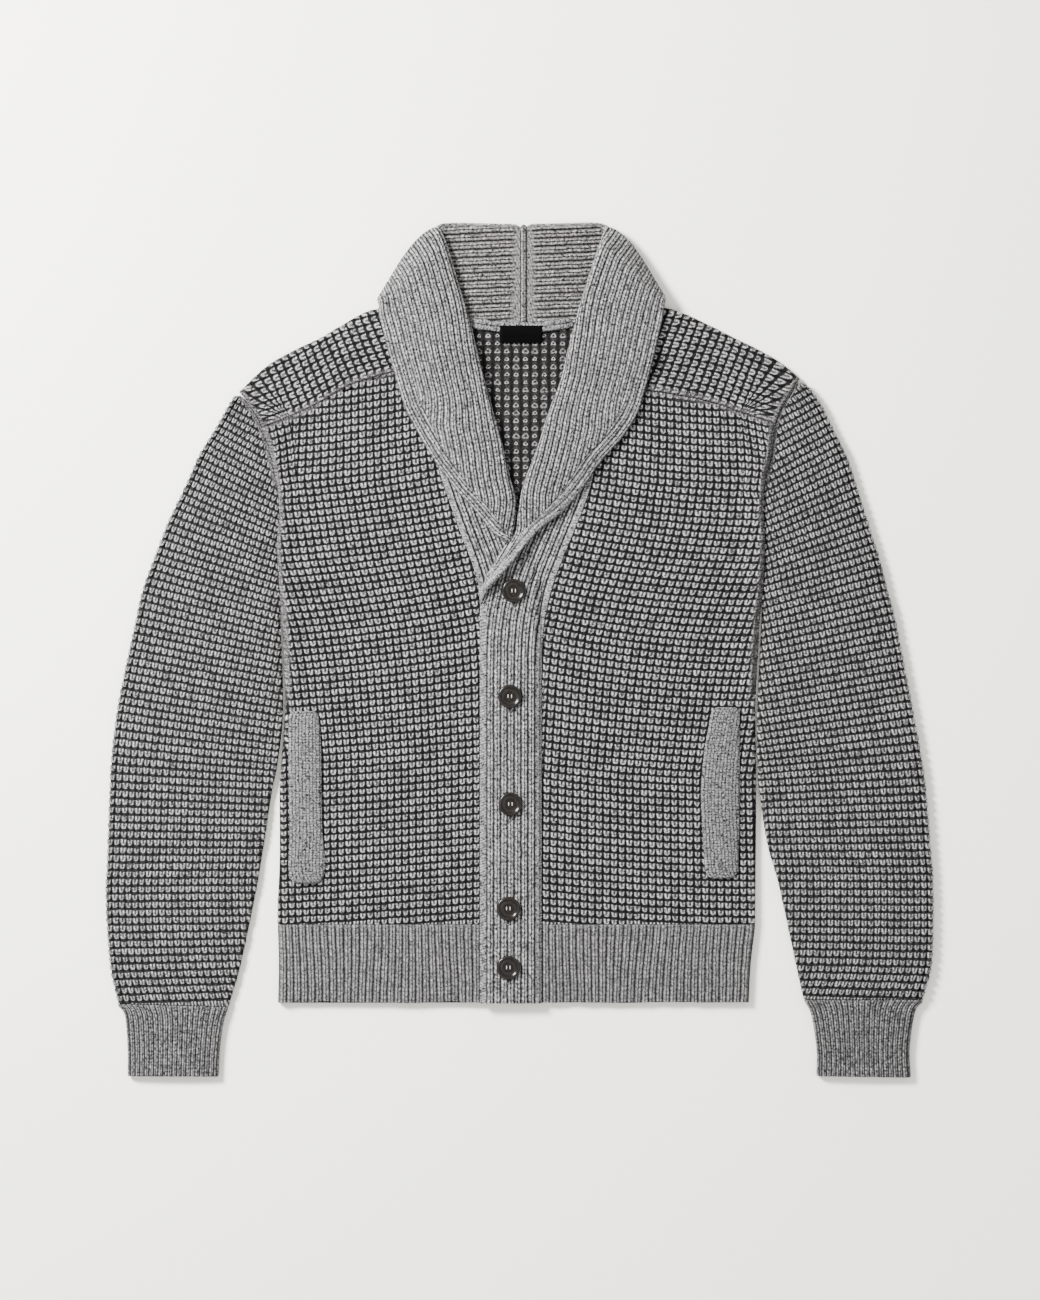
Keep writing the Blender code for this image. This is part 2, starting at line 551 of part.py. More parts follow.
def cuff_wall(table):
    """A rib cuff: a flat tube with ribs on its upper layer."""
    line = np.array(table)
    width = np.linalg.norm(line[-1, 2:] - line[-1, :2])
    ribs = int(round((width - 8.0) / CUFF_PITCH))
    columns = [(k + 1) / (2 * ribs + 2) for k in range(2 * ribs + 1)]
    mid = np.array([tube_section(r[:2], r[2:], 1.0, 1.0, columns)[:-1] for r in line])
    closed = np.concatenate([mid[:, -1:], mid, mid[:, :1]], axis=1)
    normal = normals_of(closed, 8)[:, 1:-1]
    relief = np.zeros(mid.shape[:2])
    last = CURL_N + len(columns)
    relief[:, CURL_N:last] = [0.0 if k % 2 else RIB_RELIEF for k in range(len(columns))]
    skin = mid + normal * (WALL / 2 + relief[..., None])
    lining = mid - normal * WALL / 2
    for grid in (skin, lining):
        grid[..., 2] = np.maximum(grid[..., 2], 0.0)
        grid[(0, -1), :, 1] = mid[(0, -1), :, 1]
    plain = list(range(CURL_N)) + list(range(CURL_N + 1, last, 6))
    plain += list(range(last, mid.shape[1]))
    return wall(skin, lining[:, plain], closed=True)


# ---------------------------------------------------------------- hems
def hem_layer(side, inward, far_x):
    """Ribbed hem of a front: side seam to band seam."""
    levels = [HEM_TOP - SEAM, -297.0, HEM_END]
    near = side_points(side, levels, inward)
    far = np.array([(far_x, y) for y in levels])
    ribs = int(round((abs(far_x - near[0, 0]) - 5.0) / HEM_PITCH))
    inner = [(k + 1) / (2 * ribs + 2) for k in range(2 * ribs + 1)]
    share = shares(np.linalg.norm(far - near, axis=1), inner, True, False)
    plan = (1 - share[..., None]) * near[:, None] + share[..., None] * far[:, None]
    mid = heights(plan, FRONT_Z, True, False)
    relief = np.zeros(mid.shape[:2])
    relief[:, CURL_N:CURL_N + len(inner)] = [0.0 if k % 2 else RIB_RELIEF
                                             for k in range(len(inner))]
    skin, lining = square_ends(mid, skins(mid, WALL, relief), False)
    columns = mid.shape[1]
    plain = list(range(CURL_N)) + list(range(CURL_N + 1, columns - 1, 12)) + [columns - 1]
    return wall(skin, lining[:, plain])


def hem_back():
    """Plain back hem; it lies flat on the floor."""
    levels = [HEM_TOP - SEAM, -297.0, HEM_END]
    left = side_points(LEFT_SIDE, levels, 1.0)
    right = side_points(RIGHT_SIDE, levels, -1.0)
    share = shares(np.linalg.norm(right - left, axis=1), list(np.linspace(0.1, 0.9, 5)),
                   True, True)
    plan = (1 - share[..., None]) * left[:, None] + share[..., None] * right[:, None]
    mid = heights(plan, BACK_Z, True, True)
    return wall(*square_ends(mid, skins(mid, WALL), True))


# ---------------------------------------------------------------- bands and collar
def turned(turn, radius):
    """Middle height of a layer of the collar at an angle round the side of the neck."""
    return STACK_Z + radius * math.sin(math.radians(turn))


def stand_height(x, y, turn, over):
    """Middle height of the stand, or of the flat band, at a plan point."""
    if turn < 90.0:
        return turned(turn, STAND_TURN)
    base = FRONT_Z - (0.0 if over else 0.3 * float(1 - ease((y - 60.0) / 40.0)))
    base += (STACK_Z + STAND_TURN - FRONT_Z) / LIFT * float(lift(x, y + 8.0))
    if over:
        levels, edges = zip(*UNDER_EDGE)
        edge = float(np.interp(y, levels, edges))
        base += UNDER_CLEAR * float(ease((edge + 7.2 - x) / 7.4))
    return base


def bent_part(start, run, length, bend, base, fall_n):
    """Roll and fall of a section that is folded by less than a half turn, or is flat."""
    radius, pts = COLLAR_STEP / 2, []
    angle = math.radians(bend)
    if bend == 0.0:
        steps = [(0.35 * k, 0.0) for k in (1, 2, 3)]
    else:
        steps = [(radius * math.sin(angle * k / 4), radius * (1 - math.cos(angle * k / 4)))
                 for k in (1, 2, 3)]
    out, up = (1.4, 0.0) if bend == 0.0 else (radius * math.sin(angle),
                                              radius * (1 - math.cos(angle)))
    for k in range(fall_n + 1):
        reach = length * k / fall_n
        steps.append((out + reach * math.cos(angle), up + reach * math.sin(angle)))
    for across, rise in steps:
        pts.append((*(start + run * across), base + rise))
    return pts


def rolled_part(nose, a, b, edge, reach, heights_at, fall_n):
    """Roll and fall of a section that is folded right over."""
    low, high, squeeze = heights_at
    start, end = nose + a * reach, nose + b * reach
    push = reach / 3 * squeeze
    curve = [np.array([*p, z]) for p, z in ((start, low), (nose - a * push, low),
                                            (nose - b * push, high), (end, high))]
    pts = []
    for t in (0.25, 0.5, 0.75):
        s = 1 - t
        pts.append(tuple(s ** 3 * curve[0] + 3 * s * s * t * curve[1]
                         + 3 * s * t * t * curve[2] + t ** 3 * curve[3]))
    return pts, end


def band_section(row, over, stand_n, fall_n):
    """Middle line of one section of a band, from its seam to its free edge."""
    seam, roll, edge = np.array(row[:2]), np.array(row[2:4]), np.array(row[4:6])
    bend, turn = row[6:]
    if bend < 180.0:
        target = edge if bend == 0.0 else roll
        run = (target - seam) / np.linalg.norm(target - seam)
        start = target - run * (3.4 if bend == 0.0 else COLLAR_STEP / 2 + BAND_WALL / 2)
        length = 2.0 if bend == 0.0 else np.linalg.norm(edge - roll)
        base = stand_height(start[0], start[1], turn, over)
        tail = bent_part(start, run, length, bend, base, fall_n)
    else:
        a = (seam - roll) / np.linalg.norm(seam - roll)
        b = (edge - roll) / np.linalg.norm(edge - roll)
        nose = roll + (a + b) / np.linalg.norm(a + b) * BAND_WALL / 2
        reach = min(3.4, 0.45 * np.linalg.norm(edge - nose))
        start = nose + a * reach

        def fall_height(p):
            if turn < 90.0:
                return turned(turn, FALL_TURN)
            return stand_height(p[0], p[1], turn, over) + COLLAR_STEP

        low = stand_height(start[0], start[1], turn, over)
        squeeze = abs(math.sin(math.radians(turn)))
        tail, end = rolled_part(nose, a, b, edge, reach, (low, fall_height(nose), squeeze),
                                fall_n)
        for k in range(fall_n + 1):
            p = end + (edge - end) * k / fall_n
            tail.append((*p, fall_height(p)))
    pts = []
    for k in range(stand_n + 1):
        p = seam + (start - seam) * k / stand_n
        pts.append((*p, stand_height(p[0], p[1], turn, over)))
    return pts + tail


def rib_relief(mid, first, last):
    """Zigzag of raised ribs over a run of columns; ribs that close up run out."""
    relief = np.zeros(mid.shape[:2])
    for k in range(first + 1, last, 2):
        pitch = np.linalg.norm(mid[:, k + 1, :2] - mid[:, k - 1, :2], axis=1)
        relief[:, k] = RIB_RELIEF * ease((pitch - MIN_RIB_PITCH + 1.0) / 2.0)
    return relief


def on_seam(table, seam, last, inward):
    """Set the seam points of the front's sections beside the seam line of the panel."""
    rows = []
    for row in table:
        if row[1] < last and row[7] == 90.0:
            x = float(at_level(seam, [row[1]])[0, 0]) + inward * SEAM * 1.5
            row = (x, *row[1:])
        rows.append(row)
    return rows


def band_wall(table, over):
    """A band with its half of the shawl collar, rolled over along the roll line."""
    stand_n, fall_n = 2 * BAND_RIBS, 2 * FALL_RIBS
    mid = np.array([band_section(r, over, stand_n, fall_n) for r in table])
    normal = normals_of(mid, stand_n // 2)
    front = np.array([[r[7] > 0.0] for r in table])
    normal[:, 0] = np.where(front & (normal[:, 0, 2:] > 0.3), [[0.0, 0.0, 1.0]], normal[:, 0])
    stand = rib_relief(mid, 0, stand_n)
    stand[:, stand_n - 1:] = 0.0
    fall = rib_relief(mid, stand_n + 4, mid.shape[1] - 1)
    folded = np.array([[r[6] == 180.0] for r in table])
    half = BAND_WALL / 2
    face = mid + normal * (half + np.where(front, stand, 0.0)[..., None])
    back = mid - normal * (half + np.where(folded, fall, 0.0)[..., None])
    for grid in (face, back):
        grid[..., 2] = np.maximum(grid[..., 2], 0.0)
    first = list(range(stand_n + 4)) + list(range(stand_n + 4, mid.shape[1], fall_n // 2))
    rise = [1, 2, 3, 4] if over else []
    second = sorted(rise + list(range(0, stand_n, 5))) + list(range(stand_n, mid.shape[1]))
    return wall(face[:, first], back[:, second])


# ---------------------------------------------------------------- small pieces
def strip(rows, thickness):
    """A plain wall over a grid of middle points."""
    return wall(*skins(np.array(rows, dtype=float), thickness, probe=1))


def welt(table):
    """A pocket welt: a raised strip with rounded ends on the front."""
    z = FRONT_Z + WALL / 2 + 0.2 + WELT_T / 2
    rows = [[(x + half * f, y, z) for f in (-1.0, -0.6, 0.0, 0.6, 1.0)]
            for x, y, half in table]
    skin, lining = skins(np.array(rows), WELT_T, probe=1)
    skin[:, (0, -1), 2] -= 0.6
    return wall(skin, lining)


def binding():
    """The strip over the back neck seam."""
    z = BACK_Z + LIFT + 0.65 + WALL / 2 + 1.0 + BINDING_T / 2
    line = along(NECK_SCOOP, np.linspace(0.25, 0.75, 9))
    step = np.gradient(line, axis=0)
    side = np.stack([-step[:, 1], step[:, 0]], -1)
    side /= np.linalg.norm(side, axis=1, keepdims=True)
    return strip([[(*(p + n * BINDING_W * f), z) for f in (-0.35, 0.1, 0.6)]
                  for p, n in zip(line, side)], BINDING_T)


def label():
    """The bare neck label: its upper edge lies on the binding and it hangs down inside."""
    top = BACK_Z + LIFT + 0.65 + WALL / 2 + 1.0 + BINDING_T + 0.2 + LABEL_T / 2
    rows = []
    for f in (0.0, 0.25, 0.5, 0.75, 1.0):
        y = LABEL_TOP + (LABEL_END - LABEL_TOP) * f
        z = top - 2.2 * float(ease((f - 0.45) / 0.5))
        rows.append([(LABEL_W * (g - 0.5), y, z) for g in (0.0, 0.33, 0.67, 1.0)])
    return strip(rows, LABEL_T)


def back_seam():
    """The linked strip between the two halves of the collar, over its top fold."""
    z_up, z_low = BACK_Z + LIFT + 0.5, BAND_WALL / 2
    nose, centre = 403.0 - BAND_WALL / 2, (z_up + z_low) / 2
    radius = (z_up - z_low) / 2
    line = [(305.6, z_up), (340.0, z_up), (375.0, z_up)]
    line += [(nose - radius * (1 - math.cos(math.radians(t))),
              centre + radius * math.sin(math.radians(t)))
             for t in (90.0, 60.0, 30.0, 0.0, -30.0, -60.0, -90.0)]
    line += [(375.0, z_low), (340.0, z_low), (297.0, z_low)]
    low, high = CB_SEAM
    return strip([[(x, y, z) for x in (low, (low + high) / 2, high)] for y, z in line],
                 BAND_WALL)


def button(collection, index, x, y):
    """A four-hole button with a raised rim round a shallow dish."""
    z = FRONT_Z + UNDER_CLEAR + BAND_WALL / 2 + RIB_RELIEF + 0.15
    radius = BUTTON_D / 2
    profile = [(0.0, 0.0), (radius - 2.2, 0.0), (radius, 1.5), (radius - 0.4, 2.6),
               (radius - 1.4, BUTTON_T), (radius - BUTTON_RIM - 1.4, 2.0), (0.0, 1.9)]
    bm = bmesh.new()
    line = [bm.verts.new((x + r, y, z + h)) for r, h in profile]
    edges = [bm.edges.new(pair) for pair in zip(line, line[1:])]
    bmesh.ops.spin(bm, geom=line + edges, cent=(x, y, 0.0), axis=(0, 0, 1),
                   angle=math.tau, steps=16, use_merge=True)
    bmesh.ops.remove_doubles(bm, verts=bm.verts[:], dist=0.002)
    return add_object(collection, "button_{}".format(index), bm, "horn_button")


def button_cutter(collection, name, x, y):
    """The four sewing holes of one button, as one hidden cutter."""
    bm = bmesh.new()
    z = FRONT_Z + UNDER_CLEAR + BAND_WALL / 2 + RIB_RELIEF
    for dx in (-0.5, 0.5):
        for dy in (-0.5, 0.5):
            made = bmesh.ops.create_cone(bm, cap_ends=True, segments=6, radius1=HOLE_D / 2,
                                         radius2=HOLE_D / 2, depth=12.0)
            bmesh.ops.translate(bm, verts=made["verts"],
                                vec=(x + dx * HOLE_STEP, y + dy * HOLE_STEP, z))
    cutter = add_object(collection, name, bm, "horn_button")
    cutter.hide_render = True
    cutter.display_type = "WIRE"
    return cutter


def build_buttons(collection, cutters):
    """Make the buttons and cut their holes."""
    for index, (x, y) in enumerate(BUTTONS, start=1):
        obj = button(collection, index, x, y)
        cut = obj.modifiers.new("holes", "BOOLEAN")
        cut.operation = "DIFFERENCE"
        cut.solver = "EXACT"
        cut.object = button_cutter(cutters, "holes_{}".format(index), x, y)


# ---------------------------------------------------------------- assembly
def build_body(collection):
    """Back, fronts, saddles, hems and welts."""
    back_mid = back_panel()
    add_object(collection, "back_panel",
               wall(*square_ends(back_mid, skins(back_mid, WALL), True)), "waffle_knit")
    fronts = (("left", LEFT_SIDE, LEFT_BAND_SEAM, LEFT_SADDLE_FRONT, LEFT_SADDLE_FOLD,
               LEFT_SADDLE_BACK, LEFT_BOW, 1.0),
              ("right", RIGHT_SIDE, RIGHT_BAND_SEAM, RIGHT_SADDLE_FRONT, RIGHT_SADDLE_FOLD,
               RIGHT_SADDLE_BACK, RIGHT_BOW, -1.0))
    for hand, side, band_seam, seam, fold, back, bow, inward in fronts:
        levels = LEFT_BAND_LEVELS if hand == "left" else RIGHT_BAND_LEVELS
        panel = front_panel(side, band_seam, seam, inward, levels)
        add_object(collection, "front_" + hand,
                   wall(*square_ends(panel, skins(panel, WALL), False)), "waffle_knit")
        add_object(collection, "saddle_" + hand,
                   wall(*skins(saddle(seam, fold, back, bow), WALL, probe=4)), "waffle_knit")
    add_object(collection, "hem_back", hem_back(), "rib_knit")
    add_object(collection, "hem_front_left", hem_layer(LEFT_SIDE, 1.0, -38.7),
               "rib_knit")
    add_object(collection, "hem_front_right", hem_layer(RIGHT_SIDE, -1.0, 20.3),
               "rib_knit")
    add_object(collection, "pocket_welt_left", welt(LEFT_WELT), "linked_knit")
    add_object(collection, "pocket_welt_right", welt(RIGHT_WELT), "linked_knit")


def build_sleeves(collection):
    """Sleeves and cuffs."""
    for hand, table, cuff in (("left", LEFT_SLEEVE, LEFT_CUFF),
                              ("right", RIGHT_SLEEVE, RIGHT_CUFF)):
        add_object(collection, "sleeve_" + hand, sleeve_wall(table), "waffle_knit")
        add_object(collection, "cuff_" + hand, cuff_wall(cuff), "rib_knit")


def build_collar(collection):
    """Bands with the shawl collar, its back seam, the neck binding and the label."""
    left = on_seam(LEFT_BAND, LEFT_BAND_SEAM, 270.0, 1.0)
    add_object(collection, "band_left", band_wall(left, False), "rib_knit")
    right = on_seam(RIGHT_BAND, RIGHT_BAND_SEAM, 250.0, -1.0)
    add_object(collection, "band_right", band_wall(right, True), "rib_knit")
    add_object(collection, "collar_back_seam", back_seam(), "linked_knit")
    add_object(collection, "neck_binding", binding(), "linked_knit")
    add_object(collection, "neck_label", label(), "label_fabric")


def main():
    """Build the cardigan."""
    clear_scene()
    collection = make_collection("shawl_collar_cardigan")
    cutters = make_collection("cutters")
    build_body(collection)
    build_sleeves(collection)
    build_collar(collection)
    build_buttons(collection, cutters)


main()
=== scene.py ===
"""Shawl collar cardigan, buttoned and laid flat on its back on a pale floor.

The collar is toward +Y and the front faces +Z.  Tables and meshes are worked out in millimetres
and become metres when a mesh is made.  Each knitted piece is a closed wall of cloth: its outer
skin carries the stitches as relief, and its pattern coordinates count columns and rows of knit.
"""
import logging
import math
from dataclasses import dataclass
from enum import Enum
from typing import Any

import bmesh
import bpy
import numpy as np
from mathutils import Matrix


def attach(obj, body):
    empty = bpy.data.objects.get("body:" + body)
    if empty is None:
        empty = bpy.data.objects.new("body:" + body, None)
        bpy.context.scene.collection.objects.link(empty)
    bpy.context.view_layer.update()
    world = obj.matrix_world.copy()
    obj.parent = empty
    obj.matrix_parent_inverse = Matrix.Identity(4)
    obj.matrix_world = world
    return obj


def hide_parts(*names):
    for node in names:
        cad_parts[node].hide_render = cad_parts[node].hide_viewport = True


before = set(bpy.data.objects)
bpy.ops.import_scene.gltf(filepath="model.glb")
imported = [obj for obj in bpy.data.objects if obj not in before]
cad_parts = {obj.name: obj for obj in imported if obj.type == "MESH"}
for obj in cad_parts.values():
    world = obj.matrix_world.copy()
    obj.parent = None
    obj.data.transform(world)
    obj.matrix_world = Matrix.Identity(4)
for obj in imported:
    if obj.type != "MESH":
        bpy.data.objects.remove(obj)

LOG = logging.getLogger("cardigan")
MM = 0.001
WELD = 2e-6  # points closer than this are one (m)
Rows = list[tuple[float, ...]]
Array, Material, Piece = np.ndarray, bpy.types.Material, bpy.types.Object


class Hand(Enum):
    """A side of the garment, as it is looked at."""

    LEFT = "left"
    RIGHT = "right"

    @property
    def inward(self) -> float:
        """1 where the garment lies toward +X from its side seam, or -1."""
        return 1.0 if self is Hand.LEFT else -1.0


# Walls and layers of the solids (mm)
WALL = 3.0
BAND_WALL = 3.4
BACK_Z, FRONT_Z = 1.5, 5.5  # middle of the layers
FOLD_R = 2.0  # radius of a side fold's middle
SEAM = 0.2  # gap between two pieces that are linked
COLLAR_STEP = 4.6  # from the collar's stand up to its fall
LIFT = 4.3  # rise of the shoulders over the collar
LIFT_FROM, LIFT_RUN = 262.0, 30.0  # level where the rise starts, and how long it takes
LIFT_HALF, LIFT_FADE = 133.0, 56.0  # how far out it holds, and how long it takes to end
STACK_Z = 8.45  # middle of the stack at the side of the neck
STAND_TURN, FALL_TURN = 2.15, 6.75  # how far stand and fall lie from it in front and behind
UNDER_CLEAR = 4.4  # what the top band rises over the under band
REACH = 3.4  # how far from the roll's nose stand and fall end
FLAT_FALL = 2.0  # what counts as fall where a band isn't rolled
BEHIND_TURN = -45.0  # past this turn a section lies behind the neck
LEAST_AREA = 0.301  # least share of its rectangle that a cut fills
MEET_Z = (FRONT_Z + BACK_Z) / 2

# Levels along Y
HEM_TOP = -259.8
HEM_END = -333.5
UNDERARM_Y = 32.8
FOLD_FADE = 26.0  # run over which the side fold opens above the underarm

# Side seam, then the armhole, from the hem up: x, y
LEFT_SIDE: Rows = [
    (-230.9, -345), (-230, -297.8), (-230.9, -259.8), (-230.9, -237), (-229, -191.4),
    (-229.2, -131.6), (-224.8, -90), (-223.3, -51.8), (-224.6, -10), (-226.8, 32.8),
    (-231.8, 93.6), (-229.6, 133.5), (-233.7, 166.7), (-240.4, 196.2), (-246.1, 211.4)]
RIGHT_SIDE: Rows = [
    (215.6, -345), (218, -297.8), (222.3, -259.8), (222.3, -237), (222.9, -191.4), (223.3, -131.6),
    (222.6, -90), (222.3, -51.8), (224, -10), (226.8, 32.8), (231.4, 93.6), (230.4, 133.5),
    (232.2, 162.9), (237.5, 184.8), (241.3, 215.2)]

# Front band seam from the hem to the shoulder seam: x, y
LEFT_BAND_SEAM: Rows = [
    (-38.5, -345), (-38.5, -200), (-38.5, -60), (-38.5, 15), (-39, 42), (-41, 62), (-46.4, 82),
    (-58, 112.6), (-68.5, 142), (-75, 161), (-82.5, 190), (-86.5, 219), (-87.4, 248),
    (-87.4, 274.1)]
RIGHT_BAND_SEAM: Rows = [
    (20, -345), (20, -200), (20, -100), (20, -30), (20.4, 0), (22, 22), (25.7, 42.3), (32.3, 67),
    (42.8, 93.6), (55.1, 124), (66, 154.4), (75, 200), (82.7, 238), (86.5, 255.1)]

# Saddle: front seam, shoulder fold and back seam, from the armhole to the neck: x, y
LEFT_SADDLE_FRONT: Rows = [
    (-246.1, 211.4), (-220.4, 220.9), (-199.5, 230.4), (-179.6, 241.8), (-158.7, 253.2),
    (-119.7, 264.6), (-87.4, 274.1)]
LEFT_SADDLE_FOLD: Rows = [
    (-268, 245.6), (-243, 269), (-219, 283.5), (-190, 297), (-170, 309), (-143.5, 322.4),
    (-115, 326.5), (-87, 335.5)]
LEFT_SADDLE_BACK: Rows = [
    (-251.5, 222.5), (-232, 247), (-209, 262.5), (-184, 275), (-162, 288), (-138, 300),
    (-109, 311.5), (-95, 316.5), (-80, 321.5)]
RIGHT_SADDLE_FRONT: Rows = [
    (241.3, 215.2), (209, 225.6), (191, 232.3), (170, 238), (143, 243), (115.9, 247.5),
    (86.5, 255.1)]
RIGHT_SADDLE_FOLD: Rows = [
    (265, 257.6), (246, 273.5), (221, 287.8), (197, 299.5), (174, 311), (143.5, 323.6),
    (115, 327.5), (87, 335.5)]
RIGHT_SADDLE_BACK: Rows = [
    (248.3, 231.6), (232, 250), (211, 265), (187, 277), (164, 289), (139, 301), (109, 312),
    (95, 316.8), (80, 321.5)]
LEFT_CORNER, RIGHT_CORNER = (-220.4, 220.9), (209, 225.6)
NECK_SCOOP: Rows = [
    (-80, 320.7), (-58, 312.5), (-32, 307), (0, 304.5), (32, 307), (58, 312.5), (80, 320.7)]

# Sleeves from the shoulder tip down: inner x, y, outer x, y, rise of the middle
LEFT_SLEEVE: Rows = [
    (-265.9, 242, -272.8, 241, 0), (-259.5, 234.4, -279.6, 229.8, 0.2),
    (-251.4, 222.5, -287, 217, 0.5), (-246.1, 211.4, -294, 205, 0.8),
    (-240.4, 196.2, -306, 185, 1.2), (-233.7, 166.7, -322, 150, 1.6),
    (-229.6, 133.5, -336.5, 120, 2), (-231.8, 93.6, -350, 85, 2), (-229.8, 60, -360, 57, 2),
    (-228.4, 32.8, -367, 27, 2), (-225.6, -51.8, -383.5, -52, 2), (-230.4, -104, -389.8, -104, 2),
    (-235.9, -131.6, -391.4, -136, 2), (-245.1, -191.4, -393.6, -196, 2),
    (-251.8, -230.4, -394.9, -237, 1.8), (-266, -297.8, -391, -297, 1.3),
    (-277.4, -337.4, -383, -334.6, 1)]
RIGHT_SLEEVE: Rows = [
    (262.6, 253.6, 269.6, 253, 0), (257.5, 246.8, 276, 246.5, 0.2), (249, 232.7, 286.4, 232, 0.5),
    (241.3, 215.2, 296.5, 211, 0.8), (237.5, 184.8, 310, 184, 1.2),
    (232.2, 162.9, 319.5, 156, 1.6), (230.4, 133.5, 330, 122, 2), (231.4, 93.6, 343, 80, 2),
    (229.8, 60, 350, 52, 2), (228.4, 32.8, 356.5, 28, 2), (224.4, -51.8, 372, -52, 2),
    (224.6, -104, 381.5, -104, 2), (225.9, -132.5, 385.3, -134, 2), (234, -185, 389.6, -186, 2),
    (244, -220, 392.2, -226, 1.8), (260, -294, 391, -294, 1.3), (268, -330.6, 381.9, -331, 1)]
# Cuffs: inner x, y, outer x, y
LEFT_CUFF: Rows = [
    (-277.4, -338.1, -382.9, -335.3), (-282.2, -353.9, -375.6, -346),
    (-285.5, -377.6, -373, -377.6), (-286.9, -404.2, -372.9, -403.8)]
RIGHT_CUFF: Rows = [
    (268.1, -331.3, 381.8, -331.7), (275, -345, 373.6, -343), (280.3, -377.6, 368.6, -377.6),
    (280.3, -403.8, 369.6, -405.2)]


# ---------------------------------------------------------------- curves
def smooth_line(rows: Any, per_span: int = 12) -> Array:
    """Pass a smooth line through the rows.

    Args:
        rows: points, each with any number of coordinates.
        per_span: points made for each span between two rows.

    Returns:
        The dense polyline, one point a row.
    """
    pts = np.array(rows, dtype=float)
    ext = np.vstack([2 * pts[0] - pts[1], pts, 2 * pts[-1] - pts[-2]])
    t = (np.arange(per_span) / per_span)[:, None]
    spans = [0.5 * (2 * p1 + (p2 - p0) * t + (2 * p0 - 5 * p1 + 4 * p2 - p3) * t * t
                    + (3 * p1 - p0 - 3 * p2 + p3) * t ** 3)
             for p0, p1, p2, p3 in zip(ext, ext[1:], ext[2:], ext[3:])]
    return np.vstack([*spans, pts[-1:]])


def at_level(rows: Any, levels: Any, axis: int = 1) -> Array:
    """Read points of a smooth line at given values of one coordinate.

    Args:
        rows: the line's points.
        levels: wanted values of the coordinate.
        axis: which coordinate they are.

    Returns:
        One point for each level.
    """
    line = smooth_line(rows)
    line = line[np.argsort(line[:, axis])]
    levels = np.asarray(levels, dtype=float)
    return np.stack([levels if c == axis else np.interp(levels, line[:, axis], line[:, c])
                     for c in range(line.shape[1])], axis=-1)


def run_length(points: Array) -> Array:
    """Length run at each point of a polyline, along the second last axis."""
    steps = np.linalg.norm(np.diff(points, axis=-2), axis=-1)
    return np.concatenate([np.zeros(steps.shape[:-1] + (1,)), np.cumsum(steps, axis=-1)], -1)


def along(rows: Any, fractions: Any) -> Array:
    """Read points of a smooth line at fractions of its length.

    Args:
        rows: the line's points.
        fractions: wanted fractions of the length, from 0 to 1.

    Returns:
        One point for each fraction.
    """
    line = smooth_line(rows)
    run = run_length(line)
    return np.stack([np.interp(fractions, run / run[-1], line[:, c])
                     for c in range(line.shape[1])], -1)


def ease(t: Any) -> Array:
    """Smooth step from 0 to 1."""
    t = np.clip(t, 0.0, 1.0)
    return t * t * (3 - 2 * t)


def lift(x: Any, y: Any) -> Array:
    """Rise of the shoulders over the part of the collar that lies on the floor."""
    return LIFT * ease((y - LIFT_FROM) / LIFT_RUN) * (
        1 - ease((np.abs(x) - LIFT_HALF) / LIFT_FADE))


def curl_share(y: Any) -> Array:
    """How far a side edge turns into the fold: all of it below the underarm."""
    return 1 - ease((np.asarray(y, dtype=float) - UNDERARM_Y) / FOLD_FADE)


def normals_of(grid: Array, probe: int) -> Array:
    """Unit normals of a grid of points.

    Args:
        grid: rows by columns of points.
        probe: a column whose first normal has to point up.

    Returns:
        The normals, upright wherever the surface is almost level.
    """
    normal = np.cross(np.gradient(grid, axis=1), np.gradient(grid, axis=0))
    normal /= np.maximum(np.linalg.norm(normal, axis=2, keepdims=True), 1e-9)
    if normal[0, probe, 2] < 0:
        normal = -normal
    upright = np.abs(normal[..., 2]) > 0.9
    normal[upright] = np.sign(normal[upright][:, 2:]) * np.array([[0.0, 0.0, 1.0]])
    return normal


def wobble(x: Array, y: Array, period: float, seed: int) -> Array:
    """Smooth irregular field from a few crossed waves.

    Args:
        x: first coordinate.
        y: second coordinate, in the same unit.
        period: rough size of a swell.
        seed: picks the waves.

    Returns:
        Values from about -1 to 1.
    """
    rng = np.random.default_rng(seed)
    total = np.zeros(np.broadcast(x, y).shape)
    for _ in range(6):
        angle, phase, stretch = rng.uniform(0, math.tau), rng.uniform(0, math.tau), \
            rng.uniform(0.6, 1.6)
        total += np.sin((x * math.cos(angle) + y * math.sin(angle)) * math.tau
                        / (period * stretch) + phase)
    return total / 3.0


# ---------------------------------------------------------------- node trees
@dataclass(frozen=True)
class Value:
    """A value inside a node tree; sums and products of values make Math nodes."""

    tree: "Tree"
    socket: Any

    def out(self, name: str) -> "Value":
        """Another output of the same node."""
        return Value(self.tree, self.socket.node.outputs[name])

    def __add__(self, other: "Value | float") -> "Value":
        """Sum."""
        return self.tree.add("Math", {0: self, 1: other}, operation="ADD")

    def __sub__(self, other: "Value | float") -> "Value":
        """Difference."""
        return self.tree.add("Math", {0: self, 1: other}, operation="SUBTRACT")

    def __rsub__(self, other: float) -> "Value":
        """Difference from a number."""
        return self.tree.add("Math", {0: other, 1: self}, operation="SUBTRACT")

    def __mul__(self, other: "Value | float") -> "Value":
        """Product."""
        return self.tree.add("Math", {0: self, 1: other}, operation="MULTIPLY")

    def __abs__(self) -> "Value":
        """Size without sign."""
        return self.tree.add("Math", {0: self}, operation="ABSOLUTE")

    __radd__ = __add__
    __rmul__ = __mul__


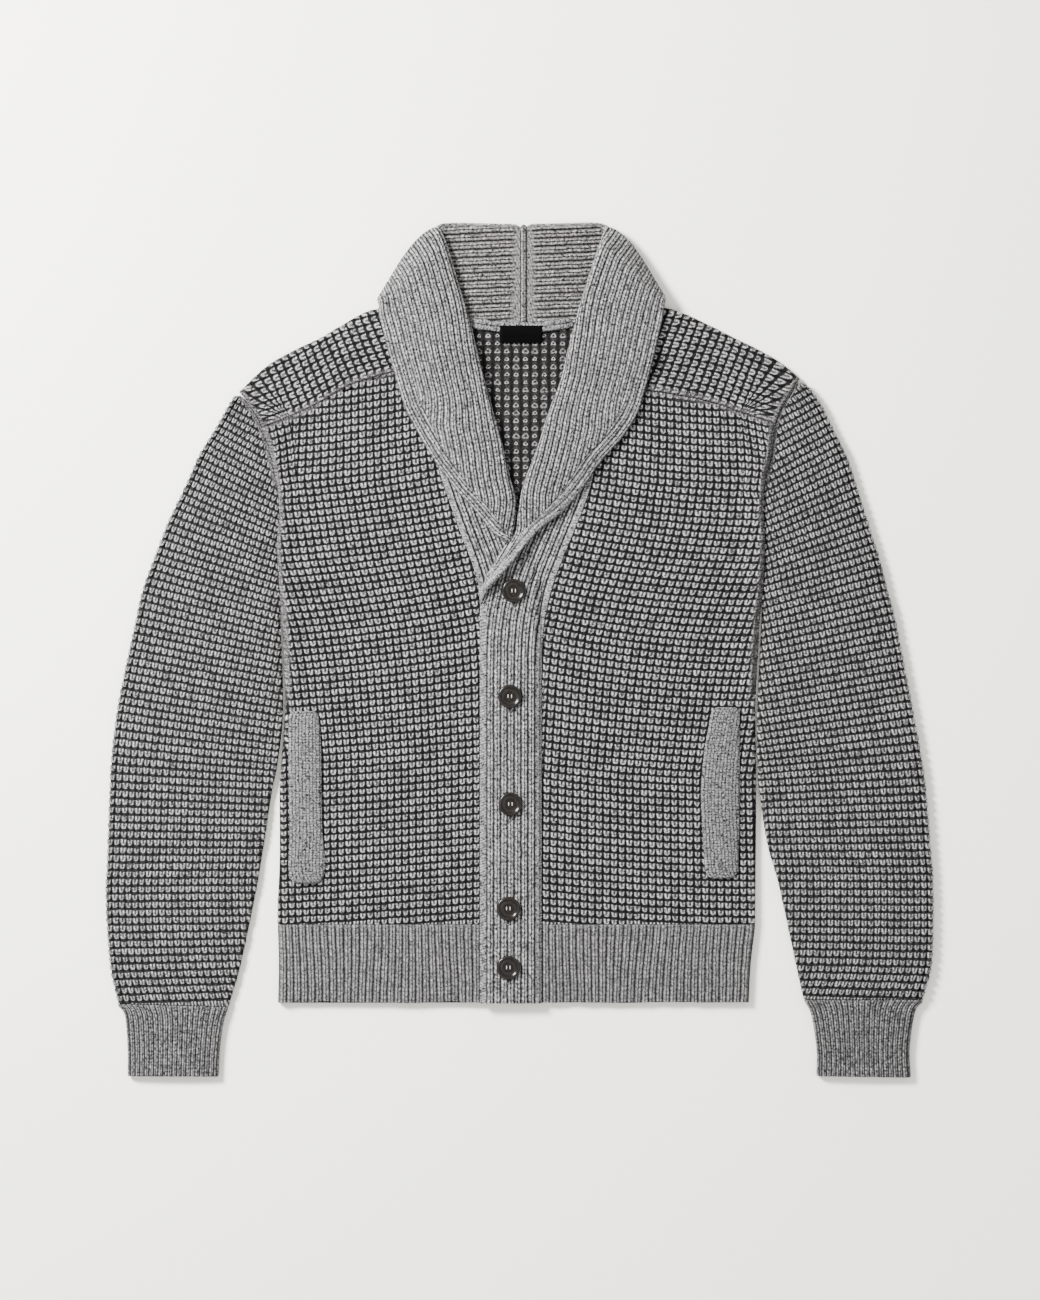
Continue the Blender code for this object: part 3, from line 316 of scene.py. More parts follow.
class Tree:
    """The node tree of one material."""

    def __init__(self, name: str) -> None:
        """Start an empty material.

        Args:
            name: the material's name.
        """
        self.material = bpy.data.materials.new(name)
        self.material.use_nodes = True
        self.material.node_tree.nodes.clear()

    def add(self, kind: str, inputs: dict[int | str, Any] | None = None,
            output: int | str = 0, **settings: Any) -> Value:
        """Add a node with its settings and links.

        Args:
            kind: the node's type without its "ShaderNode" prefix.
            inputs: what goes into each input, a value of this tree or a constant.
            output: the output that is returned, if the node has one.
            **settings: the node's own settings.

        Returns:
            The output as a value.
        """
        node = self.material.node_tree.nodes.new("ShaderNode" + kind)
        for key, setting in settings.items():
            setattr(node, key, setting)
        for key, given in (inputs or {}).items():
            if isinstance(given, Value):
                self.material.node_tree.links.new(given.socket, node.inputs[key])
            else:
                node.inputs[key].default_value = given
        return Value(self, node.outputs[output] if node.outputs else None)

    def surface(self, inputs: dict[int | str, Any]) -> Material:
        """Finish the material with one shader.

        Args:
            inputs: what goes into the shader's inputs.

        Returns:
            The material.
        """
        self.add("OutputMaterial", {"Surface": self.add("BsdfPrincipled", inputs)})
        return self.material


def linear(code: str, share: float = 1.0) -> tuple[float, float, float, float]:
    """Turn an sRGB hex colour into linear RGBA.

    Args:
        code: the colour as "#rrggbb".
        share: brightness factor in linear light.

    Returns:
        The linear colour with alpha 1.
    """
    parts = [int(code[i:i + 2], 16) / 255.0 for i in (1, 3, 5)]
    return (*(share * (c / 12.92 if c <= 0.04045 else ((c + 0.055) / 1.055) ** 2.4)
              for c in parts), 1.0)


def marled(tree: Tree, size: float, low: float, high: float) -> Value:
    """Speckle of a yarn plied from light and dark wool.

    Args:
        tree: the material's tree.
        size: size of a speck, in millimetres.
        low: brightness of the darkest specks.
        high: brightness of the lightest specks.

    Returns:
        The brightness at each point.
    """
    noise = tree.add("TexNoise", {"Vector": tree.add("TexCoord", output="Object"),
                                  "Scale": 1000.0 / size, "Detail": 3.0, "Roughness": 0.6})
    return tree.add("MapRange", {"Value": noise, "From Min": 0.33, "From Max": 0.67,
                                 "To Min": low, "To Max": high})


def grained(tree: Tree, code: str, scale: float, grain: float) -> Value:
    """Give a plain colour a very fine, even grain.

    Args:
        tree: the material's tree.
        code: the colour.
        scale: swells of the grain to a metre.
        grain: how far the brightness goes from the darkest to the lightest grain.

    Returns:
        The colour at each point.
    """
    noise = tree.add("TexNoise", {"Vector": tree.add("TexCoord", output="Object"),
                                  "Scale": scale, "Detail": 2.0})
    return tree.add("VectorMath", {0: linear(code)[:3], 3: (1.0 - grain / 2) + grain * noise},
                    operation="SCALE")


def strayed(tree: Tree, scale: float, detail: float, roughness: float,
            sway: tuple[float, float]) -> Value:
    """Read the "Knit" map and let it stray a little, as real stitches do.

    Args:
        tree: the material's tree.
        scale: swells of the straying to a cell.
        detail: how many finer swells lie on them.
        roughness: how strong the finer ones are.
        sway: how far it goes across and along, in cells.

    Returns:
        The moved pattern coordinates.
    """
    cells = tree.add("UVMap", uv_map="Knit")
    drift = tree.add("TexNoise", {"Vector": cells, "Scale": scale, "Detail": detail,
                                  "Roughness": roughness}, output="Color")
    drift = tree.add("VectorMath", {0: drift, 1: (*sway, 0.0),
                                    2: (-sway[0] / 2, -sway[1] / 2, 0.0)},
                     operation="MULTIPLY_ADD")
    return tree.add("VectorMath", {0: cells, 1: drift}, operation="ADD")


def linked_over(tree: Tree, split: Value, code: str, marl: Value, level: Value | float,
                under: tuple[Value, Value]) -> tuple[Value, Value]:
    """Draw the slanting stitches of a linked seam where the mesh says that one runs.

    Args:
        tree: the material's tree.
        split: pattern coordinates, taken apart.
        code: the yarn's colour.
        marl: the yarn's speckle.
        level: height of the seam's stitches.
        under: colour and height of the knit beside the seam.

    Returns:
        The colour and the height of both together.
    """
    colour, height = under
    linked = tree.add("Attribute", output="Fac", attribute_name="linked")
    slant = tree.add("Math", {0: split.out("Y") * 1.7 + split * 0.9}, operation="FRACT")
    gap = tree.add("MapRange", {"Value": abs(slant - 0.5), "From Min": 0.26, "From Max": 0.5},
                   interpolation_type="SMOOTHSTEP")
    # painted shade in the gaps between the slanting seam stitches
    seam = tree.add("VectorMath", {0: linear(code)[:3], 3: marl * (1.0 - 0.6 * gap)},
                    operation="SCALE")
    colour = tree.add("Mix", {0: linked, 6: colour, 7: seam}, output=2, data_type="RGBA")
    return colour, height * (1.0 - linked) + linked * (level - 0.4 * gap)


def woollen(tree: Tree, colour: Value, height: Value, relief_mm: float, strength: float = 0.8,
            roughness: float = 0.93) -> Material:
    """Finish a wool: matt, almost without a shine, with its stitches as relief.

    Args:
        tree: the material's tree.
        colour: its colour.
        height: its relief, about 0 to 1.
        relief_mm: how deep the relief is, in millimetres.
        strength: how strongly it shades.
        roughness: how matt it is.

    Returns:
        The material.
    """
    normal = tree.add("Bump", {"Height": height, "Distance": relief_mm * MM,
                               "Strength": strength}, output="Normal")
    return tree.surface({"Base Color": colour, "Normal": normal, "Roughness": roughness,
                         "IOR": 1.5, "Specular IOR Level": 0.05, "Sheen Weight": 0.03,
                         "Sheen Roughness": 0.5})


class KnitSide(Enum):
    """Which side of the tuck knit shows."""

    FACE = "face"
    REVERSE = "reverse"


# ---------------------------------------------------------------- finishes
@dataclass(frozen=True)
class TuckKnit:
    """Two-colour tuck knit in wool: light marl stitch heads stand on a charcoal ground.

    Each cell is one tuck stitch, a two-legged head of light yarn over a row of dark yarn, so the
    eye sees pale teeth in dark rows, matt and soft. Light and shade are painted into the colour
    too: a painted highlight on each head's legs, and painted shade in the notch between them and
    in the gaps between heads.
    """

    side: KnitSide = KnitSide.FACE
    ground: str = "#0d0d0d"
    head: str = "#4e4c4c"
    # painted highlight: colour of the raised legs of a head, lighter than the rest of it
    lit_leg: str = "#959494"
    closed: float = 0.08  # how far the gaps between neighbouring heads fill up
    # painted shade: the ground is darker in the gaps beside a head than under it
    row_grey: float = 2.2  # how much lighter the ground is under a head than beside it
    marl_mm: float = 1.7  # a yarn's ply; drawn a little coarser so that it shows
    relief_mm: float = 1.5
    sway: float = 0.24  # how far a stitch strays, in cells

    def material(self) -> Material:
        """Build the knit.

        Returns:
            The material, which reads the "Knit" map in cells.
        """
        tree = Tree("wool_tuck_knit_%s_%d" % (self.side.value, round(self.closed * 100)))
        moved = strayed(tree, 0.8, 3.0, 0.68, (self.sway, self.sway))
        index = tree.add("VectorMath", {0: moved}, operation="FLOOR")
        chance = tree.add("TexWhiteNoise", {"Vector": index}, noise_dimensions="2D",
                          output="Value")
        second = tree.add("SeparateXYZ", {0: chance.out("Color")})
        inside = tree.add("VectorMath", {0: moved}, operation="FRACTION")
        split = tree.add("SeparateXYZ", {0: inside})
        x, y = abs(split - 0.5), split.out("Y") - 0.5
        head, lit_leg, notch = (self.face if self.side is KnitSide.FACE else self.reverse)(
            tree, x, y, chance, second)
        marl = marled(tree, self.marl_mm, 0.05, 1.95)
        # painted shade in the notch between the legs, deepest toward the top of a head
        shade = (0.72 + 0.34 * chance) * marl * (1.0 - 0.65 * notch)
        # painted highlight: the legs take the lighter colour
        yarn = tree.add("Mix", {0: lit_leg, 6: linear(self.head), 7: linear(self.lit_leg)}, output=2,
                        data_type="RGBA")
        yarn = tree.add("VectorMath", {0: yarn, 3: shade}, operation="SCALE")
        row = tree.add("MapRange", {"Value": x, "From Min": 0.1, "From Max": 0.42,
                                    "To Min": self.row_grey, "To Max": 0.6})
        deep = tree.add("VectorMath", {0: linear(self.ground)[:3], 3: (0.2 + 0.8 * marl) * row},
                        operation="SCALE")
        colour = tree.add("Mix", {0: head, 6: deep, 7: yarn}, output=2, data_type="RGBA")
        height = head * (0.72 + 0.28 * lit_leg - 0.18 * notch) + 0.04 * marl
        colour, height = linked_over(tree, split, self.head, marl, 0.8, (colour, height))
        return woollen(tree, colour, height, self.relief_mm, strength=0.85, roughness=0.92)

    def face(self, tree: Tree, x: Value, y: Value, chance: Value,
             second: Value) -> tuple[Value, Value, Value]:
        """Draw the outer side's two-legged head.

        Args:
            tree: the material's tree.
            x: distance from the middle of the cell.
            y: height from the middle of the cell.
            chance: one random number for each cell.
            second: another one.

        Returns:
            Masks of the head, of its two legs, which get a painted highlight, and of the notch
            between them, which gets painted shade.
        """
        square = x * x
        side = 0.40 + 0.17 * y + 0.09 * (chance - 0.5) - x
        top = 0.33 + 0.14 * x + 0.10 * (second - 0.5) - y
        bottom = y + 0.40 - 6.0 * (square * square)
        room = tree.add("Math", {0: top, 1: bottom}, operation="MINIMUM")
        below = tree.add("Math", {0: y + 0.06, 1: 0.0}, operation="MINIMUM")
        bend = tree.add("Math", {0: square + 1.2 * (below * below), 1: 0.5}, operation="POWER")
        rows, beside, lit_leg, middle = (
            tree.add("MapRange", {"Value": value, "From Min": start, "From Max": stop,
                                  "To Min": least}, interpolation_type="SMOOTHSTEP")
            for value, start, stop, least in (
                (room, -0.03, 0.09, 0.0), (side, -0.04, 0.08, self.closed),
                (abs(bend - 0.23 - 0.06 * y), 0.15, 0.0, 0.0), (x, 0.14, 0.0, 0.0)))
        rise = tree.add("MapRange", {"Value": y, "From Min": -0.42, "From Max": 0.25})
        return rows * beside, lit_leg * (0.75 + 0.25 * rise), middle * rise * (0.6 + 0.8 * second)

    def reverse(self, tree: Tree, x: Value, y: Value, chance: Value,
                second: Value) -> tuple[Value, Value, Value]:
        """Draw the inner side's small ring of light yarn.

        Args:
            tree: the material's tree.
            x: distance from the middle of the cell.
            y: height from the middle of the cell.
            chance: one random number for each cell.
            second: another one.

        Returns:
            Masks of the ring, of its crown, which gets a painted highlight, and of its hollow,
            which gets painted shade.
        """
        across = x * (2.7 + 1.6 * (chance - 0.5))
        up = y * (2.9 + 1.6 * (second - 0.5)) + 0.5 * across
        radius = tree.add("Math", {0: across * across + up * up, 1: 0.5}, operation="POWER")
        head, hollow, crown = (
            tree.add("MapRange", {"Value": value, "From Min": start, "From Max": stop},
                     interpolation_type="SMOOTHSTEP")
            for value, start, stop in ((radius, 0.98, 0.62), (radius, 0.44, 0.16),
                                       (abs(radius - 0.56), 0.28, 0.0)))
        return head * (0.55 + 0.45 * second), crown, hollow * 1.4


@dataclass(frozen=True)
class RibKnit:
    """Ribbing in light and dark grey marl wool: columns of chained stitches with grooves between.

    The marl yarn gives a soft speckle, and each column shows two rows of leaning legs that meet in
    a thin line with a small hole between stitches. The legs are painted lighter as a highlight,
    and the grooves, the line, the holes and the gaps between legs darker as shade, most near the
    seam or roll.
    """

    name: str = "wool_rib_knit"
    yarn: str = "#6c6b6b"
    # painted shade: the colour of the grooves between ribs
    groove: str = "#101010"
    groove_from: float = 0.34  # half width of the flat of a rib, in ribs
    # painted shade: how dark the line between legs, the holes and the far grooves are painted
    centre: float = 0.55  # how dark the line between the legs is
    hole: float = 0.85  # how dark the holes between stitches are
    fade: float = 0.7  # how much of a groove is left far from the seam or roll
    lean: float = 0.9  # how far the legs lean, in stitches across half a rib
    marl_mm: float = 2.1  # a yarn's ply; drawn coarser so that it shows
    speckle: float = 0.95  # how much the yarn's plies differ
    relief_mm: float = 0.9

    def material(self) -> Material:
        """Build the ribbing.

        Returns:
            The material, which reads the "Knit" map in ribs and stitches.
        """
        tree = Tree(self.name)
        split = tree.add("SeparateXYZ", {0: strayed(tree, 0.35, 2.0, 0.5, (0.16, 0.5))})
        x = abs(tree.add("Math", {0: split}, operation="FRACT") - 0.5)
        run = tree.add("Math", {0: split.out("Y")}, operation="FRACT")
        leaned = split.out("Y") - self.lean * 2.0 * x
        chain = tree.add("Math", {0: leaned}, operation="FRACT")
        spot = (x * x) * 55.0 + ((run - 0.5) * (run - 0.5)) * 16.0
        groove, legs, middle, gap, hole = (
            tree.add("MapRange", {"Value": value, "From Min": start, "From Max": stop},
                     interpolation_type="SMOOTHSTEP")
            for value, start, stop in (
                (x, self.groove_from, 0.49), (abs(x - 0.2), 0.17, 0.02), (x, 0.10, 0.0),
                (abs(chain - 0.5), 0.30, 0.5), (spot, 1.0, 0.25)))
        groove = groove * tree.add("MapRange", {"Value": split, "From Min": 3.0, "From Max": 9.0,
                                                "To Min": 1.0, "To Max": self.fade})
        marl = marled(tree, self.marl_mm, 1.0 - self.speckle, 1.0 + 1.15 * self.speckle)
        stitch = tree.add("VectorMath", {0: tree.add("CombineXYZ", {0: split * 2.0, 1: leaned})},
                          operation="FLOOR")
        chance = tree.add("TexWhiteNoise", {"Vector": stitch}, noise_dimensions="2D")
        ply = marl * (1.0 - 0.3 * self.speckle + 0.6 * self.speckle * chance)
        # painted highlight on the legs; painted shade in the gaps, the centre line and the holes
        shade = ply * (0.55 + 0.7 * legs) * (1.0 - 0.5 * gap) * (1.0 - self.centre * middle) \
            * (1.0 - self.hole * hole)
        yarn = tree.add("VectorMath", {0: linear(self.yarn)[:3], 3: shade}, operation="SCALE")
        # painted shade in the grooves
        deep = tree.add("VectorMath", {0: linear(self.groove)[:3], 3: marl}, operation="SCALE")
        colour = tree.add("Mix", {0: groove, 6: yarn, 7: deep}, output=2, data_type="RGBA")
        height = (1.0 - groove) * 0.7 - 0.18 * middle - 0.16 * gap - 0.3 * hole + 0.07 * marl
        colour, height = linked_over(tree, split, self.yarn, marl, 0.7 + 0.07 * marl,
                                     (colour, height))
        return woollen(tree, colour, height, self.relief_mm)


@dataclass(frozen=True)
class LinkedKnit:
    """Close plain knit in light marl wool, linked stitch by stitch along seams and pocket mouths.

    Small slanting stitches in one light grey yarn make it look smoother and paler than the ribs.
    """

    yarn: str = "#5f5e5e"
    shadow: str = "#101010"
    marl_mm: float = 2.0  # a yarn's ply; drawn coarser so that it shows
    relief_mm: float = 0.6

    def material(self) -> Material:
        """Build the plain knit.

        Returns:
            The material, which reads the "Knit" map in stitches along and across.
        """
        tree = Tree("wool_linked_knit")
        split = tree.add("SeparateXYZ", {0: strayed(tree, 0.3, 2.0, 0.5, (0.5, 1.2))})
        x = abs(tree.add("Math", {0: split}, operation="FRACT") - 0.5)
        slant = tree.add("Math", {0: split.out("Y") - 1.1 * x}, operation="FRACT")
        gap, edge = (
            tree.add("MapRange", {"Value": value, "From Min": start, "From Max": 0.5},
                     interpolation_type="SMOOTHSTEP")
            for value, start in ((abs(slant - 0.5), 0.28), (x, 0.26)))
        marl = marled(tree, self.marl_mm, 0.0, 2.2)
        dark = tree.add("Math", {0: gap * 0.75, 1: edge * 0.9}, operation="MAXIMUM")
        base = tree.add("Mix", {0: dark, 6: linear(self.yarn), 7: linear(self.shadow)},
                        output=2, data_type="RGBA")
        colour = tree.add("VectorMath", {0: base, 3: marl}, operation="SCALE")
        return woollen(tree, colour, 0.1 * marl - 0.5 * dark, self.relief_mm)


@dataclass(frozen=True)
class LabelCloth:
    """Black satin-woven polyester tape, cut to a bare neck label.

    Fine ribs across the tape take a faint shine, partly painted into the colour as lighter rib
    crests, so it reads as smoother than the wool.
    """

    colour: str = "#030303"
    rib_mm: float = 0.9  # a real one has about 0.3 mm; drawn coarser so that it shows
    relief_mm: float = 0.12

    def material(self) -> Material:
        """Build the tape's cloth.

        Returns:
            The material.
        """
        tree = Tree("polyester_satin_tape")
        split = tree.add("SeparateXYZ", {0: tree.add("TexCoord", output="Object")})
        wave = tree.add("Math", {0: split.out("Y") * (math.tau * 1000.0 / self.rib_mm)},
                        operation="SINE")
        # painted sheen: the colour is lighter on each rib's crest and darker between
        colour = tree.add("VectorMath", {0: linear(self.colour)[:3], 3: 1.0 + 0.35 * wave},
                          operation="SCALE")
        normal = tree.add("Bump", {"Height": wave, "Distance": self.relief_mm * MM,
                                   "Strength": 0.5}, output="Normal")
        return tree.surface({"Base Color": colour, "Normal": normal, "Roughness": 0.6,
                             "Specular IOR Level": 0.02})


@dataclass(frozen=True)
class Horn:
    """Dark buffalo horn, turned and polished.

    Thin layers cut across by the lathe show as uneven olive rings in a brown black body, under a
    soft polish.
    """

    dark: str = "#0b0908"
    light: str = "#1c1814"
    rings: float = 2.6  # layers from the middle to the rim
    relief_mm: float = 0.05

    def material(self) -> Material:
        """Build the horn.

        Returns:
            The material, which reads the "Knit" map in button radii from the middle.
        """
        tree = Tree("polished_buffalo_horn")
        place = tree.add("TexCoord", output="Object")
        grain = tree.add("TexNoise", {"Vector": place, "Scale": 120.0, "Detail": 4.0,
                                      "Distortion": 0.8})
        streak = tree.add("TexNoise", {"Vector": place, "Scale": 420.0, "Detail": 3.0})
        radius = tree.add("VectorMath", {0: tree.add("UVMap", uv_map="Knit")}, output="Value",
                          operation="LENGTH")
        wave = tree.add("Math", {0: (radius * self.rings + grain * 1.6) * math.tau},
                        operation="SINE")
        share = tree.add("MapRange", {"Value": wave * 0.5 + streak, "From Min": 0.05,
                                      "From Max": 1.25}, interpolation_type="SMOOTHSTEP")
        colour = tree.add("Mix", {0: share, 6: linear(self.dark), 7: linear(self.light)},
                          output=2, data_type="RGBA")
        normal = tree.add("Bump", {"Height": streak, "Distance": self.relief_mm * MM,
                                   "Strength": 0.4}, output="Normal")
        return tree.surface({"Base Color": colour, "Normal": normal, "Roughness": 0.2,
                             "IOR": 1.54, "Specular IOR Level": 0.18, "Coat Weight": 0.08,
                             "Coat Roughness": 0.08})


@dataclass(frozen=True)
class Thread:
    """Spun polyester sewing thread: matt, with a fine twist."""

    # near black: the buttonhole slits use it as painted shade
    colour: str = "#060505"

    def material(self) -> Material:
        """Build the thread.

        Returns:
            The material.
        """
        tree = Tree("spun_sewing_thread_" + self.colour[1:])
        return tree.surface({"Base Color": grained(tree, self.colour, 2500.0, 0.8),
                             "Roughness": 0.85})


@dataclass(frozen=True)
class PaintedFloor:
    """Matt off-white painted board: even, with the faintest roller texture."""

    colour: str = "#f6f4eb"

    def material(self) -> Material:
        """Build the painted board.

        Returns:
            The material.
        """
        tree = Tree("matt_painted_board")
        return tree.surface({"Base Color": grained(tree, self.colour, 260.0, 0.03),
                             "Roughness": 0.8, "Specular IOR Level": 0.2})


# ---------------------------------------------------------------- cloth meshes
@dataclass
class Section:
    """A stretch of cloth between its two skins, as a grid of sections by columns (mm)."""

    middle: Array
    thickness: float
    cells: Array
    probe: int = 6
    relief: Array | None = None
    under_relief: Array | None = None

    def skins(self) -> tuple[Array, Array]:
        """Offset the middle surface to its upper and lower skins.

        Returns:
            Two grids of points, the upper one with the relief on it.
        """
        normal = normals_of(self.middle, self.probe)
        upper, lower = (self.middle + sign * normal * self.thickness / 2 for sign in (1, -1))
        if self.relief is not None:
            upper = upper + normal * self.relief[..., None]
        if self.under_relief is not None:
            lower = lower - normal * self.under_relief[..., None]
        return upper, lower

    def area(self) -> float:
        """Measure the middle surface.

        Returns:
            Its area in square metres.
        """
        across = np.diff(self.middle, axis=1)[:-1]
        down = np.diff(self.middle, axis=0)[:, :-1]
        return float(np.linalg.norm(np.cross(across, down), axis=-1).sum()) * MM * MM


def stitch_relief(cells: Array, height: float) -> Array:
    """Relief of the tuck knit's stitch heads.

    Args:
        cells: pattern coordinates in columns and rows.
        height: from the ground to the top of a head, in millimetres.

    Returns:
        The height of each point over the skin, a third of it below.
    """
    across, level = np.abs(np.mod(cells[..., 0], 1.0) - 0.5), np.mod(cells[..., 1], 1.0)
    side = across - 0.12 - 0.16 * level
    head = (1 - ease(side / 0.22)) * (1 - ease((np.abs(level - 0.5) - 0.25) / 0.2))
    return height * (head - 0.5)


def seam_share(distance: Array, reach: float = 3.2) -> Array:
    """How far a point counts as linked seam, from its distance to the seam's line."""
    return 1 - ease((distance - reach + 0.8) / 1.6)


def as_mesh(bm: bmesh.types.BMesh, name: str) -> bpy.types.Mesh:
    """Turn a bmesh into a mesh, and free it.

    Args:
        bm: the bmesh.
        name: the mesh's name.

    Returns:
        The mesh.
    """
    mesh = bpy.data.meshes.new(name)
    bm.to_mesh(mesh)
    bm.free()
    return mesh


def put_in(name: str, data: Any) -> Piece:
    """Make an object and put it in the scene.

    Args:
        name: the object's name.
        data: its mesh, lamp or camera.

    Returns:
        The object.
    """
    obj = bpy.data.objects.new(name, data)
    bpy.context.scene.collection.objects.link(obj)
    return obj


def map_from_above(bm: bmesh.types.BMesh, middle: tuple[float, float],
                   cell: tuple[float, float]) -> None:
    """Give a mesh its pattern map straight from above.

    Args:
        bm: the mesh, in metres.
        middle: where the pattern starts, in millimetres.
        cell: size of one cell, in millimetres.
    """
    layer = bm.loops.layers.uv.new("Knit")
    for face in bm.faces:
        for loop in face.loops:
            loop[layer].uv = [(at / MM - start) / size
                              for at, start, size in zip(loop.vert.co, middle, cell)]


def rib_profile(cells: Array, height: float) -> Array:
    """Relief of rounded ribs.

    Args:
        cells: pattern coordinates in ribs and stitches.
        height: from the groove to the top of a rib, in millimetres.

    Returns:
        The height of each point over the skin.
    """
    across = np.abs(np.mod(cells[..., 0], 1.0) - 0.5) * 2
    return height * (1 - across ** 2.6)


def close_loop(upper: Array, lower: Array, top_cells: Array,
               low_cells: Array) -> tuple[Array, Array]:
    """Put an upper and a lower skin together as closed sections.

    Args:
        upper: the upper skin's points.
        lower: the lower skin's points, in the same direction.
        top_cells: the upper skin's pattern coordinates.
        low_cells: the lower skin's pattern coordinates.

    Returns:
        Points and pattern coordinates round the whole section.
    """
    points = np.concatenate([upper, lower[:, ::-1], upper[:, :1]], axis=1)
    return points, np.concatenate([top_cells, low_cells[:, ::-1], top_cells[:, :1]], axis=1)


def sheet_grid(name: str, points: Array, cells: Array) -> bpy.types.Mesh:
    """Lay a grid mesh over given points.

    Args:
        name: the mesh's name.
        points: sections by columns of points, in millimetres.
        cells: pattern coordinates of the same shape, and how far each point is linked seam.

    Returns:
        The mesh, in metres, with its pattern map.
    """
    bm = bmesh.new()
    bmesh.ops.create_grid(bm, x_segments=points.shape[1] - 1, y_segments=points.shape[0] - 1,
                          size=1.0)
    mesh = as_mesh(bm, name)
    mesh.vertices.foreach_set("co", (points * MM).astype(np.float32).ravel())
    corners = np.empty(len(mesh.loops), dtype=np.int32)
    mesh.loops.foreach_get("vertex_index", corners)
    layer = mesh.uv_layers.new(name="Knit")
    layer.uv.foreach_set(
        "vector", cells[..., :2].reshape(-1, 2)[corners].astype(np.float32).ravel())
    if cells.shape[2] > 2:
        linked = mesh.attributes.new("linked", "FLOAT", "POINT")
        linked.data.foreach_set("value", cells[..., 2].astype(np.float32).ravel())
    return mesh


def finish_mesh(mesh: bpy.types.Mesh, materials: list[Material],
                sharp: float = 55.0, cap: bool = True) -> Piece:
    """Weld, close and shade a mesh, and make its object.

    Args:
        mesh: the mesh, in metres.
        materials: its materials, in slot order.
        sharp: angle in degrees past which an edge stays sharp.
        cap: whether open ends are closed.

    Returns:
        The finished object, linked to the scene.
    """
    bm = bmesh.new()
    bm.from_mesh(mesh)
    bmesh.ops.remove_doubles(bm, verts=bm.verts[:], dist=WELD)
    if cap:
        bmesh.ops.holes_fill(bm, edges=[e for e in bm.edges if e.is_boundary], sides=0)
    bmesh.ops.recalc_face_normals(bm, faces=bm.faces[:])
    for face in bm.faces:
        face.smooth = True
    bm.to_mesh(mesh)
    bm.free()
    mesh.set_sharp_from_angle(angle=math.radians(sharp))
    obj = put_in(mesh.name, mesh)
    for material in materials:
        mesh.materials.append(material)
    return obj


def cloth_wall(name: str, section: Section, coarse: list[int],
               materials: list[Material], fine_under: bool = False,
               under_cells: Array | None = None) -> Piece:
    """Close a stretch of cloth into a wall, with a plainer skin on the side that is hidden.

    Args:
        name: the piece's name.
        section: the stretch of cloth.
        coarse: columns kept on the plainer skin.
        materials: the face material, and one for the plainer skin if it differs.
        fine_under: whether the lower skin is the fine one.
        under_cells: pattern coordinates of the plainer skin, if they differ.

    Returns:
        The piece.
    """
    upper, lower = section.skins()
    cells = section.cells
    fine, plain = (lower, upper) if fine_under else (upper, lower)
    plain_cells = (cells if under_cells is None else under_cells)[:, coarse]
    points, pattern = close_loop(fine, plain[:, coarse], cells, plain_cells)
    points[..., 2] = np.maximum(points[..., 2], 0.0)
    mesh = sheet_grid(name, points, pattern)
    if len(materials) > 1:
        columns = points.shape[1] - 1
        index = np.tile((np.arange(columns) >= fine.shape[1]).astype(np.int32),
                        points.shape[0] - 1)
        mesh.polygons.foreach_set("material_index", index)
    return finish_mesh(mesh, materials)


def declare(obj: Piece, node: str, cut: tuple[float, float],
            area: float) -> Piece:
    """Attach a piece of cloth to the root, hide the solid it stands for, and log its flat cut.
        cut: width and length of the flat cut, in millimetres.
        area: the cut's flat area in square metres.

    Returns:
        The piece.
    """
    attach(obj, "root")
    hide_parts(node)
    width, length = (c * MM for c in cut)
    area = min(max(area, LEAST_AREA * width * length), width * length)
    LOG.info("%s: %d faces, flat cut %.0f x %.0f mm, %.4f m2", obj.name,
             len(obj.data.polygons), cut[0], cut[1], area)
    return obj


# ---------------------------------------------------------------- body
# Side folds: a quarter turn in the seam, and the rest of the half turn round a nose
CURL_STEPS = np.radians([0, 18, 36, 54, 72, 90])
FOLD_ANGLES = np.radians([72, 54, 36, 18, 0, -18, -36, -54, -72, -90])
CURL = FOLD_R * (1 - np.cos(CURL_STEPS))
CURL_RISE = np.sin(CURL_STEPS)
CURL_N = len(CURL)
TURN_IN = 4.0  # what a cut needs for its folds, beyond what shows in plan
SEAM_RELIEF = 0.35  # height of a linked seam on the tuck knit
BODY_LEVELS = [HEM_TOP + SEAM, -191.4, -131.6, -51.8, UNDERARM_Y, 45.0, 60.0, 93.6,
               115.0, 133.5, 150.0, 166.7, 184.8, 196.2]
LEFT_BAND_LEVELS = [HEM_TOP + SEAM, -190.0, -100.0, 30.0, 62.0, 82.0, 95.0, 111.0, 134.0,
                    151.0, 176.0, 202.0, 232.0, 255.0]
RIGHT_BAND_LEVELS = [HEM_TOP + SEAM, -2.0, 23.0, 42.3, 62.0, 73.0, 84.5, 96.0, 116.0,
                     132.0, 154.0, 178.0, 205.0, 231.0]

# Lay of the knit on the fronts: level, slope of the rows at the side and its growth to the band
LEFT_RISE: Rows = [
    (-260, 0.05, 0.04), (-96, 0.07, 0.06), (-20, 0.07, 0.12), (40, 0.07, 0.17), (100, 0.08, 0.14),
    (160, 0.08, 0.16)]
RIGHT_RISE: Rows = [
    (-260, 0.01, 0.08), (-96, 0, 0.15), (-20, 0, 0.20), (40, 0.01, 0.20), (100, 0.02, 0.20),
    (160, 0.01, 0.20)]
# Level, place of the wale that follows the band, and the width of a column
LEFT_WALES: Rows = [
    (-345, -38.5, 6.7), (-100, -38.5, 6.8), (-20, -40, 7.1), (20, -42.5, 7.3), (60, -50, 7.5),
    (85, -56, 7.6), (120, -64, 7.5), (160, -72, 7.4), (200, -77, 7), (275, -79, 6.8)]
RIGHT_WALES: Rows = [
    (-345, 20, 7.25), (-200, 20, 7.2), (-120, 21, 7.1), (-30, 26, 7.5), (10, 30, 7.7),
    (50, 39, 7.9), (86, 50, 8), (120, 60, 7.9), (160, 68, 7.7), (200, 73, 7.3), (260, 74, 7.1)]


